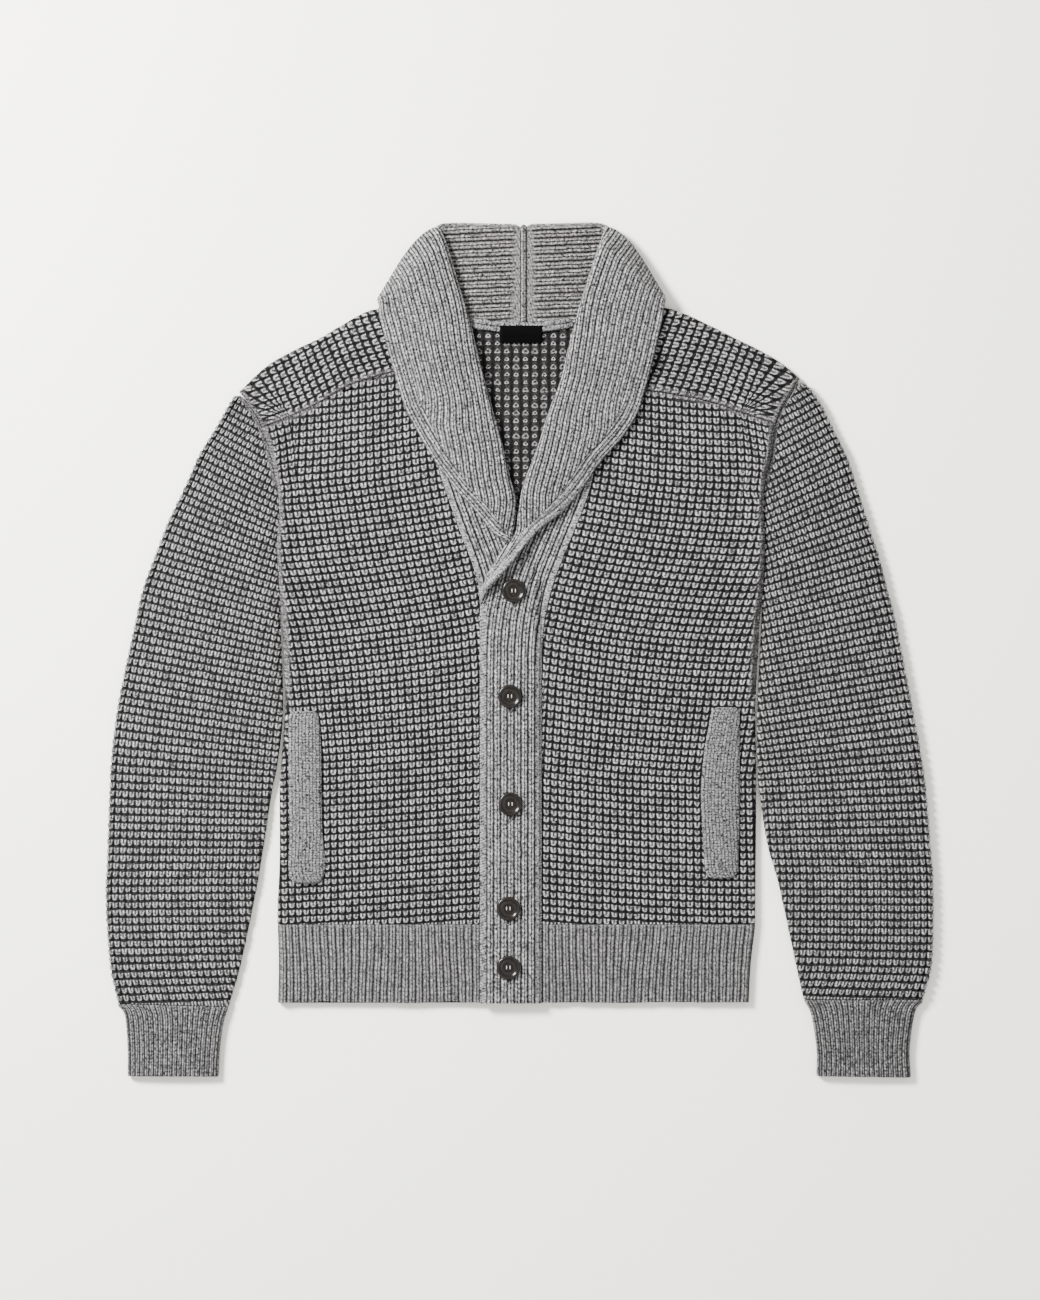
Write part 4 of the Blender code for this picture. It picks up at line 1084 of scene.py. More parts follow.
def coons(left: Array, right: Array, bottom: Any, top: Any,
          share: Array) -> Array:
    """Fill a four-sided outline with a grid of points.

    Args:
        left: left edge's points, one for each section.
        right: right edge's points, one for each section.
        bottom: points of the lower edge.
        top: points of the upper edge.
        share: each point's fraction across, a row for each section.

    Returns:
        The grid in plan.
    """
    run = run_length(left)
    up = (run / run[-1])[:, None, None]
    u = share[..., None]
    low = np.stack([along(bottom, s) for s in share]) if len(bottom) > 2 else \
        (1 - u) * np.array(bottom[0]) + u * np.array(bottom[1])
    line = smooth_line(top)
    gone = run_length(line)
    high = np.stack([np.interp(share, gone / gone[-1], line[:, c]) for c in (0, 1)], -1)
    corner = ((1 - u) * (1 - up) * low[:, :1] + u * (1 - up) * low[:, -1:]
              + (1 - u) * up * high[:, :1] + u * up * high[:, -1:])
    return (1 - u) * left[:, None] + u * right[:, None] + (1 - up) * low + up * high - corner


def curled(plan: Array, base: float, left: bool, right: bool) -> Array:
    """Give a plan grid its heights, with its side edges turned down to meet the other layer.

    Args:
        plan: sections by columns of plan points.
        base: middle height of the layer.
        left: whether the first edge is turned.
        right: whether the last edge is turned.

    Returns:
        The grid with heights.
    """
    z = np.full(plan.shape[:2], base)
    step = base - MEET_Z
    gap = 0.15 * np.sign(step)
    if left:
        turn = curl_share(plan[:, 0, 1])[:, None]
        z[:, :CURL_N] = (MEET_Z + gap) * turn + base * (1 - turn) + (step - gap) * turn * CURL_RISE
    if right:
        turn = curl_share(plan[:, -1, 1])[:, None]
        z[:, -CURL_N:] = ((MEET_Z + gap) * turn + base * (1 - turn)
                          + (step - gap) * turn * CURL_RISE[::-1])
    return np.dstack([plan, z + lift(plan[..., 0], plan[..., 1])])


def side_points(table: Rows, levels: Array, inward: float) -> Array:
    """Read a side edge's middle line, half a wall inside where it is folded.

    Args:
        table: the side seam and armhole.
        levels: wanted levels.
        inward: 1 where the garment lies toward +X, or -1.

    Returns:
        One point in plan for each level.
    """
    pts = at_level(table, levels)
    pts[:, 0] += inward * (SEAM + (WALL / 2 - SEAM) * curl_share(levels))
    return pts


def armhole_share(y: Array) -> Array:
    """How far a level lies beside the armhole, whose line runs out below the underarm."""
    return ease((y + 60.0) / 40.0)


def chest_share(y: Array) -> Array:
    """How far a level lies beside the upper part of the armhole."""
    return ease((y - 148.0) / 22.0)


def flat_cut(plan: Array) -> tuple[float, float]:
    """Width and length of a panel's cut."""
    return float(np.ptp(plan[..., 0])) + TURN_IN, float(np.ptp(plan[..., 1])) + TURN_IN


@dataclass
class Front:
    """One front of the cardigan, from its side seam to the band."""

    hand: Hand
    side: Rows
    band_seam: Rows
    saddle_seam: Rows
    band_levels: list[float]
    corner: tuple[float, float]  # where the shaping line meets the shoulder
    rise: Rows
    wales: Rows
    row_mm: float = 6.85
    step_mm: float = 1.45
    field_mm: float = 160.0  # width that is meshed at step_mm beside the strip
    strip_mm: float = 20.6  # three columns that follow the armhole
    strip_columns: int = 13
    ridge_mm: float = 4.6  # reach of the linked ridge along the armhole
    relief_mm: float = 1.0
    step_up: float = 3.6  # how much the edge stands over the sleeve

    def outline(self) -> tuple[Array, Array, list[tuple[float, float]]]:
        """Edges of the panel.

        Returns:
            The side edge, the band edge and the shoulder edge.
        """
        top = [(x, y - SEAM) for x, y in self.saddle_seam]
        marks = [*BODY_LEVELS, top[0][1]]
        knots = np.linspace(0, 1, len(marks))
        length = top[0][1] - HEM_TOP
        fine = np.linspace(0, 1, int(length / self.step_mm))
        levels = np.interp(fine, (np.array(marks) - HEM_TOP) / length, marks)
        share = np.interp(levels, marks, knots)
        band = np.interp(share, knots, self.band_levels + [top[-1][1]])
        side_line = side_points(self.side, levels, self.hand.inward)
        band_line = at_level(self.band_seam, band)
        band_line[:, 0] -= self.hand.inward * SEAM
        return side_line, band_line, [tuple(side_line[-1]), *top[1:-1], tuple(band_line[-1])]

    def strip_width(self, y: Array) -> Array:
        """Width of the strip beside the armhole at a level."""
        reach = math.dist(self.saddle_seam[0], self.corner)
        return np.interp(y, [150.0, 168.0, 212.0], [self.strip_mm, self.strip_mm, reach])

    def build(self, knit: Material) -> Piece:
        """Knit the panel.

        Args:
            knit: its material.

        Returns:
            The panel.
        """
        side_line, band_line, top = self.outline()
        width = np.linalg.norm(band_line - side_line, axis=1)
        strip = self.strip_width(side_line[:, 1]) / width
        head = CURL / width[:, None]
        first = np.linspace(0, 1, self.strip_columns + 1)[1:]
        second = np.linspace(0, 1, int(self.field_mm / self.step_mm))
        low, high = head[:, -1:], strip[:, None]
        share = np.hstack([head, low + (high - low) * first, high + (1 - high) * second])
        edge = CURL_N + len(first)
        plan = coons(side_line, band_line, [tuple(side_line[0]), tuple(band_line[0])], top, share)
        middle = curled(plan, FRONT_Z, True, False)
        inset = share * width[:, None]
        cells = self.cells(plan, edge, inset)
        relief = stitch_relief(cells, self.relief_mm)
        relief[:, edge - 1:edge + 1] = relief[:, edge - 1:edge + 1].mean(axis=1, keepdims=True)
        armhole = armhole_share(plan[..., 1])
        linked = seam_share(inset, self.ridge_mm) * armhole * (
            0.7 + 0.3 * chest_share(plan[..., 1]))
        upright = run_length(plan.swapaxes(0, 1)).T
        linked = np.maximum(linked, 0.5 * seam_share(upright[-1:] - upright))
        cells = np.dstack([cells, linked])
        relief += (SEAM_RELIEF - relief) * linked
        relief += self.step_up * armhole * ease(inset / 3.6) * (1 - ease((inset - 5.0) / 20.0))
        relief[:, 0] = -0.2
        relief[(0, -1), :] *= 0.3
        section = Section(middle, WALL, cells, relief=relief)
        last = share.shape[1] - 1
        node = "front_" + self.hand.value
        obj = cloth_wall(node + "_knit", section,
                         [*range(CURL_N), *range(CURL_N + 8, last, 14), last], [knit])
        return declare(obj, node, flat_cut(plan), section.area())

    def grain(self, plan: Array) -> Array:
        """Columns and rows of the main field: they fan out along the band, rows rise to it.

        Args:
            plan: the grid in plan.

        Returns:
            Columns and rows at each point.
        """
        x = plan[..., 0] * self.hand.inward
        heights, places, widths = zip(*self.wales)
        wale = np.interp(plan[..., 1], heights, places) * self.hand.inward
        start, away = plan[..., 1].copy(), x + 228.0
        levels, slopes, bends = zip(*self.rise)
        for _ in range(8):
            slope, bend = np.interp(start, levels, slopes), np.interp(start, levels, bends)
            start = plan[..., 1] - (slope + bend * away / 380.0) * away
        return np.dstack([(x - wale) / np.interp(plan[..., 1], heights, widths),
                          (start - HEM_TOP) / self.row_mm])

    def cells(self, plan: Array, edge: int, across: Array) -> Array:
        """Pattern coordinates of the whole panel.

        Args:
            plan: the grid in plan.
            edge: the first column inside the strip's line; the one before it lies on it too.
            across: distance of each point from the side edge.

        Returns:
            Columns and rows at each point.
        """
        cells = self.grain(plan)
        y = plan[:, edge, 1]
        start = int(np.argmin(np.abs(y - 146.0)))
        run = run_length(plan[:, edge - 1])
        rows = cells[start, edge, 1] + (run - run[start]) / self.row_mm
        reach = (across[:, edge][:, None] - across[:, :edge]) / self.strip_mm * 3.0
        strip = np.dstack([np.round(cells[start, edge, 0]) - reach,
                           np.tile(rows[:, None], (1, edge))])
        cells[:, :edge] += ease((y - 140.0) / 12.0)[:, None, None] * (strip - cells[:, :edge])
        return cells


@dataclass
class Back:
    """The back of the cardigan, which lies on the floor; its inside shows in the neck."""

    column_mm: float = 7.0
    row_mm: float = 7.1
    inner_column_mm: float = 8.85  # the inner side is stretched in the neck
    inner_row_mm: float = 7.3
    length_mm: float = 490.0
    width_mm: float = 452.0
    step_mm: float = 2.9
    relief_mm: float = 0.5

    def build(self, knit: Material, inside: Material) -> Piece:
        """Knit the panel.

        Args:
            knit: material of the outer side, which faces the floor.
            inside: material of the inner side, which faces up.

        Returns:
            The panel.
        """
        top = ([(x, y - 1.0) for x, y in LEFT_SADDLE_BACK[:-1]]
               + [(x, y - SEAM) for x, y in NECK_SCOOP]
               + [(x, y - 1.0) for x, y in RIGHT_SADDLE_BACK[::-1][1:]])
        left = side_points(LEFT_SIDE, np.array(BODY_LEVELS), 1.0)
        right = side_points(RIGHT_SIDE, np.array(BODY_LEVELS), -1.0)
        left = np.vstack([left, [(-245.6, 211.4)], [(top[0][0] + 0.4, top[0][1])]])
        right = np.vstack([right, [(240.7, 215.2)], [(top[-1][0] - 0.4, top[-1][1])]])
        rows = np.linspace(0, len(left) - 1, int(self.length_mm / self.step_mm))
        knots = np.arange(len(left))
        left, right = (np.stack([np.interp(rows, knots, line[:, c]) for c in (0, 1)], -1)
                       for line in (left, right))
        width = np.linalg.norm(right - left, axis=1)[:, None]
        head, tail = CURL / width, 1 - CURL[::-1] / width
        inner = np.linspace(0, 1, int(self.width_mm / self.step_mm))[1:-1]
        share = np.hstack([head, head[:, -1:] + (tail[:, :1] - head[:, -1:]) * inner, tail])
        plan = coons(left, right, [tuple(left[0]), tuple(right[0])], top, share)
        middle = curled(plan, BACK_Z, True, True)
        face, lining = (
            np.dstack([plan[..., 0] / column, (plan[..., 1] - HEM_TOP) / row])
            for column, row in ((self.column_mm, self.row_mm),
                                (self.inner_column_mm, self.inner_row_mm)))
        relief = stitch_relief(lining, self.relief_mm) + 0.1
        relief[:, :CURL_N] = relief[:, -CURL_N:] = 0.0
        section = Section(middle, WALL, lining, relief=relief)
        last = share.shape[1]
        coarse = [*range(CURL_N), *range(CURL_N + 2, last - CURL_N, 4),
                  *range(last - CURL_N, last)]
        obj = cloth_wall("back_knit", section, coarse, [inside, knit], under_cells=face)
        return declare(obj, "back_panel", flat_cut(plan), section.area())


@dataclass
class Saddle:
    """A saddle shoulder: one strip from the front seam over the fold to the back seam."""

    hand: Hand
    front: Rows
    fold: Rows
    back: Rows
    bow: tuple[float, float]  # how far the cloth swells out before the fold
    corner: tuple[float, float]  # where the rows turn round the shoulder's tip
    sections: int = 130
    top_rows: int = 26  # from the front seam to the fold
    turn_mm: float = 36.0  # radius of the rows' turn
    column_mm: float = 7.1
    row_mm: float = 7.7
    relief_mm: float = 1.0

    def middle(self, count: int) -> Array:
        """Middle surface, from the front seam over the fold to the back seam.

        Args:
            count: points along the shoulder.

        Returns:
            The grid; the first section is the front seam.
        """
        fractions = np.linspace(0.0, 1.0, count)
        a, b, c = (along(t, fractions) for t in (self.front, self.fold, self.back))
        inward = (a - b) / np.linalg.norm(a - b, axis=1, keepdims=True)
        nose = b + inward * WALL / 2
        bows = np.array(self.bow) * (1 - fractions[:, None]) ** 2
        end = nose + inward * FOLD_R
        rows = [(a + (end - a) * f + bows * math.sin(math.pi * min(f, 0.75)), FRONT_Z)
                for f in np.linspace(0.008, 1.0, self.top_rows)]
        for angle in FOLD_ANGLES:
            rows.append((nose + inward * FOLD_R * (1 - math.cos(angle)) + bows * 0.1,
                         MEET_Z + FOLD_R * math.sin(angle)))
        for f in (0.12, 0.25, 0.5, 0.75, 0.94):
            rows.append((nose + (c - nose) * f + bows * math.sin(math.pi * f) * 0.5, BACK_Z))
        grid = np.array([[(x, y, z + lift(x, y)) for x, y in plan] for plan, z in rows])
        for edge, next_to in ((0, 1), (-1, -2)):
            step = grid[:, next_to] - grid[:, edge]
            grid[:, edge] += step / np.linalg.norm(step, axis=1, keepdims=True) * SEAM * 2
        return grid

    def build(self, knit: Material) -> Piece:
        """Knit the saddle.

        Args:
            knit: its material.

        Returns:
            The saddle.
        """
        middle = self.middle(self.sections)
        across = run_length(middle.swapaxes(0, 1)).T
        shoulder = np.array(self.fold[-1]) - np.array(self.fold[1])
        shoulder /= np.linalg.norm(shoulder)
        up = np.array([-shoulder[1], shoulder[0]]) * self.hand.inward
        offset = middle[..., :2] - np.array(self.corner)
        run, rise = offset @ shoulder, np.maximum(offset @ up, 0.0)
        turn = np.arctan2(-run, np.maximum(rise, 4.0))
        rows = np.where(run > 0, run, -turn * self.turn_mm) / self.row_mm
        linked = seam_share(np.linalg.norm(middle - middle[:, :1], axis=2))
        linked = np.maximum(linked, 0.5 * seam_share(across))
        cells = np.dstack([across / self.column_mm, rows, linked])
        relief = stitch_relief(cells, self.relief_mm)
        relief += (SEAM_RELIEF - relief) * linked
        relief[(0, -1), :] = relief[:, (0, -1)] = -0.4
        relief[self.top_rows:] *= 0.4
        section = Section(middle, WALL, cells, probe=4, relief=relief)
        last = self.sections - 1
        node = "saddle_" + self.hand.value
        obj = cloth_wall(node + "_knit", section, [*range(0, last, 16), last], [knit])
        length = float(run_length(middle[self.top_rows // 2]).max())
        return declare(obj, node, (float(across[-1].max()), length),
                       section.area())


# ---------------------------------------------------------------- sleeves, cuffs and hems
def tube_middle(rows: Array, columns: int, under: int) -> Array:
    """Middle surface of a flat tube, slit along its inner fold.

    Args:
        rows: inner x, y, outer x, y and rise of the middle, one row for each section.
        columns: columns across the upper layer.
        under: columns across the lower layer.

    Returns:
        The grid, from the inner edge over the upper layer and back under it.
    """
    inner, outer, crown = rows[:, 0:2], rows[:, 2:4], rows[:, 4:5]
    turn = curl_share(inner[:, 1])[:, None]
    width = np.linalg.norm(outer - inner, axis=1, keepdims=True)
    axis = (outer - inner) / width
    head = inner + axis * (SEAM + (WALL / 2 - SEAM) * turn)
    nose = outer - axis * WALL / 2
    span = np.linalg.norm(nose - head, axis=1, keepdims=True) - 2 * FOLD_R
    gap, level = 0.15 * turn, np.zeros_like(turn)
    parts = [(head + axis * w, MEET_Z + gap + (FOLD_R - gap) * (rise * turn + 1 - turn))
             for w, rise in zip(CURL, CURL_RISE)]
    parts += [(head + axis * (FOLD_R + span * f), FRONT_Z + crown * math.sin(math.pi * f) ** 0.7)
              for f in np.linspace(0, 1, columns)[1:]]
    parts += [(nose - axis * FOLD_R * (1 - math.cos(a)), level + MEET_Z + FOLD_R * math.sin(a))
              for a in FOLD_ANGLES]
    parts += [(head + axis * (FOLD_R + span * f), level + BACK_Z)
              for f in np.linspace(1, 0, under)[1:-1]]
    parts += [(head + axis * w, MEET_Z - gap - (FOLD_R - gap) * (rise * turn + 1 - turn))
              for w, rise in zip(CURL[::-1], CURL_RISE[::-1])]
    return np.stack([np.hstack([plan, z]) for plan, z in parts], axis=1)


@dataclass
class Sleeve:
    """A sleeve: open beside the armhole, a flat tube from the underarm down."""

    hand: Hand
    table: Rows
    column_mm: float = 6.35
    row_mm: float = 7.1
    tilt: float = 0.97  # rows down the sleeve, against rows square to it
    length_mm: float = 610.0
    width_mm: float = 150.0
    step_mm: float = 1.74
    under_columns: int = 16
    relief_mm: float = 1.0
    fold_relief: float = 1.6  # how much more the stitches stand out on the outer fold
    dip: float = 1.2  # how deep the cloth lies beside the armhole

    def row_line(self, plan: Array) -> Array:
        """Level at which the row of knit through each point meets the outer fold.

        Args:
            plan: points in plan.

        Returns:
            The level of each point's row.
        """
        line = smooth_line(self.table)
        line = line[np.argsort(line[:, 3])]
        level = plan[..., 1].copy()
        for _ in range(14):
            fall = np.interp(level, [-330, -200, -120, -60, 0, 100, 200],
                             [-0.03, 0.0, 0.06, 0.16, 0.20, 0.32, 0.54])
            reach = np.abs(plan[..., 0] - np.interp(level, line[:, 3], line[:, 2]))
            level = 0.5 * level + 0.5 * (plan[..., 1] + fall * reach)
        return level

    def count_rows(self, level: Array, plan: Array, mid: int) -> Array:
        """Turn row levels into row numbers that keep their spacing down the sleeve's middle.

        Args:
            level: the level of each point's row.
            plan: the points in plan.
            mid: the column down the middle.

        Returns:
            The row number of each point.
        """
        run, rows_at = run_length(plan[:, mid])[::-1], level[:, mid][::-1]
        order = np.argsort(rows_at)
        return np.interp(level, rows_at[order], -run[order] * self.tilt) / self.row_mm

    def build(self, knit: Material) -> Piece:
        """Knit the sleeve.

        Args:
            knit: its material.

        Returns:
            The sleeve.
        """
        columns = int(self.width_mm / self.step_mm)
        rows = along(self.table, np.linspace(0, 1, int(self.length_mm / self.step_mm)))
        middle = tube_middle(rows, columns, self.under_columns)
        plan = middle[..., :2]
        around = run_length(middle)
        nose = CURL_N + columns - 1 + list(FOLD_ANGLES).index(0.0)
        from_nose = around[:, nose][:, None] - around
        cells = np.dstack([from_nose / self.column_mm, self.count_rows(
            self.row_line(plan), plan, CURL_N + columns // 2)])
        fold = 1 - ease((np.abs(from_nose) - 6.0) / 8.0)
        relief = stitch_relief(cells, self.relief_mm) * (1 + self.fold_relief * fold)
        linked = seam_share(around) * chest_share(plan[..., 1])
        cells = np.dstack([cells, linked])
        relief += (SEAM_RELIEF - relief) * linked
        relief -= self.dip * armhole_share(plan[..., 1]) * (1 - ease(around / 12.0))
        relief[:, nose + 6:] = 0.0
        relief[:, (0, -1)] = -0.2
        relief[-1] = 0.0
        section = Section(middle, WALL, cells, relief=relief)
        coarse = [*range(CURL_N), *range(CURL_N + 8, CURL_N + columns - 4, 14),
                  *range(CURL_N + columns - 2, middle.shape[1])]
        node = "sleeve_" + self.hand.value
        obj = cloth_wall(node + "_knit", section, coarse, [knit])
        return declare(obj, node,
                       (float(around[:, -1].max()), float(run_length(plan[:, nose]).max())),
                       section.area())


@dataclass
class Cuff:
    """A ribbed cuff, laid flat."""

    hand: Hand
    table: Rows
    rib_mm: float = 4.4
    rib_columns: int = 7
    stitch_mm: float = 3.4
    sections: int = 36
    relief_mm: float = 1.0

    def build(self, rib: Material) -> Piece:
        """Knit the cuff.

        Args:
            rib: its material.

        Returns:
            The cuff.
        """
        rows = along([(*r, 1.0) for r in self.table], np.linspace(0, 1, self.sections))
        width = float(np.linalg.norm(rows[-1, 2:4] - rows[-1, :2])) - 2 * FOLD_R
        ribs = round(width / self.rib_mm)
        columns = ribs * self.rib_columns
        middle = tube_middle(rows, columns, columns // 2)
        around = run_length(middle)
        down = run_length(middle[:, CURL_N + columns // 2])[:, None]
        level = np.zeros_like(around)
        cells = np.dstack([around / around[:, -1:] * (2 * ribs + 1),
                           level - down / self.stitch_mm, level + 0.45 * seam_share(down, 1.8)])
        relief = rib_profile(cells, self.relief_mm) - 0.5
        relief[:, CURL_N + columns + 8:] *= 0.4
        relief[(0, -1), :] -= 0.3
        section = Section(middle, WALL, cells, relief=relief)
        last = middle.shape[1]
        coarse = [*range(CURL_N), *range(CURL_N + 8, CURL_N + columns - 4, 20),
                  *range(CURL_N + columns - 2, last, 2), last - 1]
        node = "cuff_" + self.hand.value
        obj = cloth_wall(node + "_rib", section, coarse, [rib])
        return declare(obj, node, (float(around[:, -1].max()), float(down[-1, 0])),
                       section.area())


@dataclass
class Hem:
    """The ribbed hem of a front or of the back."""

    node: str
    left: Rows | float
    right: Rows | float
    base: float
    rib_mm: float = 6.7
    stitch_mm: float = 4.0
    wave_mm: float = 0.9  # how far the free edge strays
    sections: int = 34
    relief_mm: float = 1.0

    def edge(self, side: Rows | float, levels: Array, inward: float) -> Array:
        """Points of one end: along a side seam, or plumb at a given place.

        Args:
            side: the side seam's table, or the place.
            levels: wanted levels.
            inward: 1 where the garment lies toward +X, or -1.

        Returns:
            One point in plan for each level.
        """
        if isinstance(side, float):
            return np.stack([np.full(len(levels), side), levels], -1)
        return side_points(side, levels, inward)

    def build(self, rib: Material) -> Piece:
        """Knit the hem.

        Args:
            rib: its material.

        Returns:
            The hem.
        """
        levels = np.linspace(HEM_TOP - SEAM, HEM_END, self.sections)
        left, right = self.edge(self.left, levels, 1.0), self.edge(self.right, levels, -1.0)
        curl = isinstance(self.left, list), isinstance(self.right, list)
        width = np.linalg.norm(right - left, axis=1)[:, None]
        ribs = round(float(width[-1, 0]) / self.rib_mm)
        head = CURL / width if curl[0] else np.zeros((len(levels), 1))
        tail = 1 - CURL[::-1] / width if curl[1] else np.ones((len(levels), 1))
        under = self.base == BACK_Z
        inner = np.linspace(0, 1, ribs * (5 if under else 7))[1:-1]
        share = np.hstack([head, head[:, -1:] + (tail[:, :1] - head[:, -1:]) * inner, tail])
        plan = left[:, None] + (right - left)[:, None] * share[..., None]
        low = ease((HEM_TOP - levels) / (HEM_TOP - HEM_END))[:, None]
        plan[..., 1] += self.wave_mm * low * wobble(plan[..., 0], 0 * plan[..., 0], 34.0, 5)
        middle = curled(plan, self.base, *curl)
        lean = 0.35 * np.sin(share * math.pi * 3.0) * ease((levels[:, None] - HEM_END) / 70.0)
        linked = np.tile(0.5 * seam_share(levels[0] - levels[:, None], 2.2), (1, share.shape[1]))
        cells = np.dstack([share * ribs + lean,
                           np.tile(levels[:, None] / self.stitch_mm, (1, share.shape[1])),
                           linked])
        relief = rib_profile(cells, self.relief_mm) - 0.5
        relief[(0, -1), :] -= 0.3
        section = Section(middle, WALL, cells, relief=None if under else relief)
        last = share.shape[1]
        coarse = sorted({*range(0, last - 6, 18), *range(last - 6, last), *range(CURL_N)})
        obj = cloth_wall(self.node + "_rib", section, coarse, [rib], fine_under=under)
        return declare(obj, self.node,
                       (float(width.max()) + TURN_IN, HEM_TOP - HEM_END + self.wave_mm),
                       section.area())


# ---------------------------------------------------------------- bands and collar
# Bands: one row for each section from the hem to the middle of the back.
# seam x, y; roll x, y; free edge x, y; bend: degrees that the band is folded over the roll;
# turn: 90 on the front, -90 on the back, and the angle round the side of the neck between
LEFT_BAND: Rows = [
    (-38.2, -334.5, 0, 0, 13, -334.5, 0, 90),
    (-38.2, -100, 0, 0, 13, -100, 0, 90),
    (-38.2, 30, 0, 0, 13, 30, 0, 90),
    (-39.2, 62, 0, 0, 8, 60, 0, 90),
    (-46.8, 82, 0, 0, -2, 78, 0, 90),
    (-51.6, 95, 0, 0, -8, 90, 0, 90),
    (-55, 104.5, -9, 96, -11, 96, 60, 90),
    (-57.5, 111, -8.5, 102, -17, 101, 120, 90),
    (-60.5, 118.5, -7, 111, -25, 110.5, 180, 90),
    (-65.8, 134, -5.2, 125, -43.5, 132, 180, 90),
    (-71.6, 151, -5, 143, -62, 153, 180, 90),
    (-79, 176, -11.3, 166, -81, 178, 180, 90),
    (-84.4, 202, -16.8, 192, -96, 203, 180, 90),
    (-86.7, 232, -26, 224, -110, 230, 180, 90),
    (-87.1, 264, -36.5, 264, -121, 266, 180, 90),
    (-87, 280, -42.5, 287, -125.8, 283, 180, 90),
    (-86.7, 296, -49, 313, -130, 300, 180, 90),
    (-86.3, 316, -59.5, 348, -134.3, 316, 180, 90),
    (-85.8, 331, -71.5, 387, -134.8, 327, 180, 90),
    (-85.6, 334, -76, 398, -135.2, 331.5, 180, 45),
    (-85.4, 336.3, -78, 403, -134, 334, 180, 0),
    (-84.4, 334.5, -73.5, 405, -131.5, 331.5, 180, -45),
    (-82.6, 330.5, -65, 405.4, -126, 323.5, 180, -90),
    (-76.6, 322.2, -52, 405.4, -104, 306.5, 180, -90),
    (-55, 312.8, -34, 405, -66, 298.5, 180, -90),
    (-28, 307.4, -17, 404.6, -31, 297, 180, -90),
    (-9, 305.9, -6, 404.2, -9, 297, 180, -90),
    (-1, 305.4, -1, 401.6, -1, 297, 180, -90)]
RIGHT_BAND: Rows = [
    (19.7, -334.5, 0, 0, -39, -334.5, 0, 90),
    (19.7, -100, 0, 0, -39, -100, 0, 90),
    (19.9, -2, 0, 0, -39, -2, 0, 90),
    (21.8, 23, 0, 0, -39, 23, 0, 90),
    (25.4, 42.3, 0, 0, -38.6, 42, 0, 90),
    (27.6, 52, -36, 52, -31, 52, 50, 90),
    (30.2, 62, -35.5, 61, -27, 61, 115, 90),
    (34.2, 73, -32, 72.5, -19, 71.5, 180, 90),
    (38.6, 84.5, -24.6, 84, -8.5, 83, 180, 90),
    (43.2, 96, -17, 95.5, 0, 94.5, 180, 90),
    (51.4, 116, -6, 112, 18, 115, 180, 90),
    (58.2, 132, -2.5, 130.5, 39.5, 131.6, 180, 90),
    (66.8, 154, 1.2, 152, 59, 154, 180, 90),
    (71.4, 178, 10.5, 178, 76, 179, 180, 90),
    (75.6, 205, 17.5, 198, 97, 203, 180, 90),
    (80.9, 231, 26.5, 226, 111, 226, 180, 90),
    (85.9, 260, 38, 257, 120.5, 257, 180, 90),
    (86, 276, 43.5, 280, 125, 274, 180, 90),
    (86, 291, 49, 302, 128.7, 291, 180, 90),
    (85.8, 314, 60, 341, 134, 314, 180, 90),
    (85.6, 331, 75.5, 386, 136, 328, 180, 90),
    (85.5, 334, 79, 397, 136.2, 332.5, 180, 45),
    (85.3, 336.3, 80.5, 403, 135, 334.5, 180, 0),
    (84.4, 334.5, 76.5, 405, 132, 332, 180, -45),
    (82.6, 330.5, 69, 405.6, 126.5, 323.5, 180, -90),
    (76.6, 322.2, 56, 405.6, 105, 306.5, 180, -90),
    (55, 312.8, 40, 405.2, 69, 298.5, 180, -90),
    (30, 307.7, 23, 404.8, 36, 297, 180, -90),
    (13, 306, 11, 404.4, 13, 297, 180, -90),
    (6, 305.5, 6, 402.6, 6, 297, 180, -90)]
# Free edge of the under band, which the top band passes over: y, x
UNDER_EDGE: Rows = [
    (-400, 13), (30, 13), (60, 13.5), (79, 3.5), (92, -9.5), (98, -14), (104, -26), (112, -60)]


def stand_height(x: Array, y: Array, turn: float, over: bool) -> Array:
    """Middle height of the stand, or of the flat band, at plan points.

    Args:
        x: across, in millimetres.
        y: up the garment.
        turn: the section's angle round the side of the neck.
        over: whether this is the band that lies on the other one.

    Returns:
        The heights.
    """
    if turn < 90.0:
        return np.full(np.shape(x), STACK_Z + STAND_TURN * math.sin(math.radians(turn)))
    base = FRONT_Z - (0.0 if over else 0.3) * (1 - ease((y - 60.0) / 40.0))
    base = base + (STACK_Z + STAND_TURN - FRONT_Z) / LIFT * lift(x, y + 8.0)
    if over:
        levels, edges = zip(*UNDER_EDGE)
        base = base + UNDER_CLEAR * ease((np.interp(y, levels, edges) + 7.2 - x) / 7.4)
    return base


def beside(line: Array, points: Array) -> tuple[Array, Array]:
    """Measure points from a line in plan.

    Args:
        line: the line's points.
        points: a grid of points.

    Returns:
        For each point the run along the line and the distance from it.
    """
    run = run_length(line)
    tangent = np.gradient(line, axis=0)
    tangent /= np.linalg.norm(tangent, axis=1, keepdims=True)
    flat = points.reshape(-1, 2)
    near = np.concatenate([np.argmin(((part[:, None] - line[None]) ** 2).sum(-1), axis=1)
                           for part in np.array_split(flat, max(1, len(flat) // 4000))])
    offset = flat - line[near]
    ahead = (offset * tangent[near]).sum(-1)
    aside = np.abs(offset[:, 0] * tangent[near, 1] - offset[:, 1] * tangent[near, 0])
    shape = points.shape[:2]
    return (run[near] + ahead).reshape(shape), aside.reshape(shape)


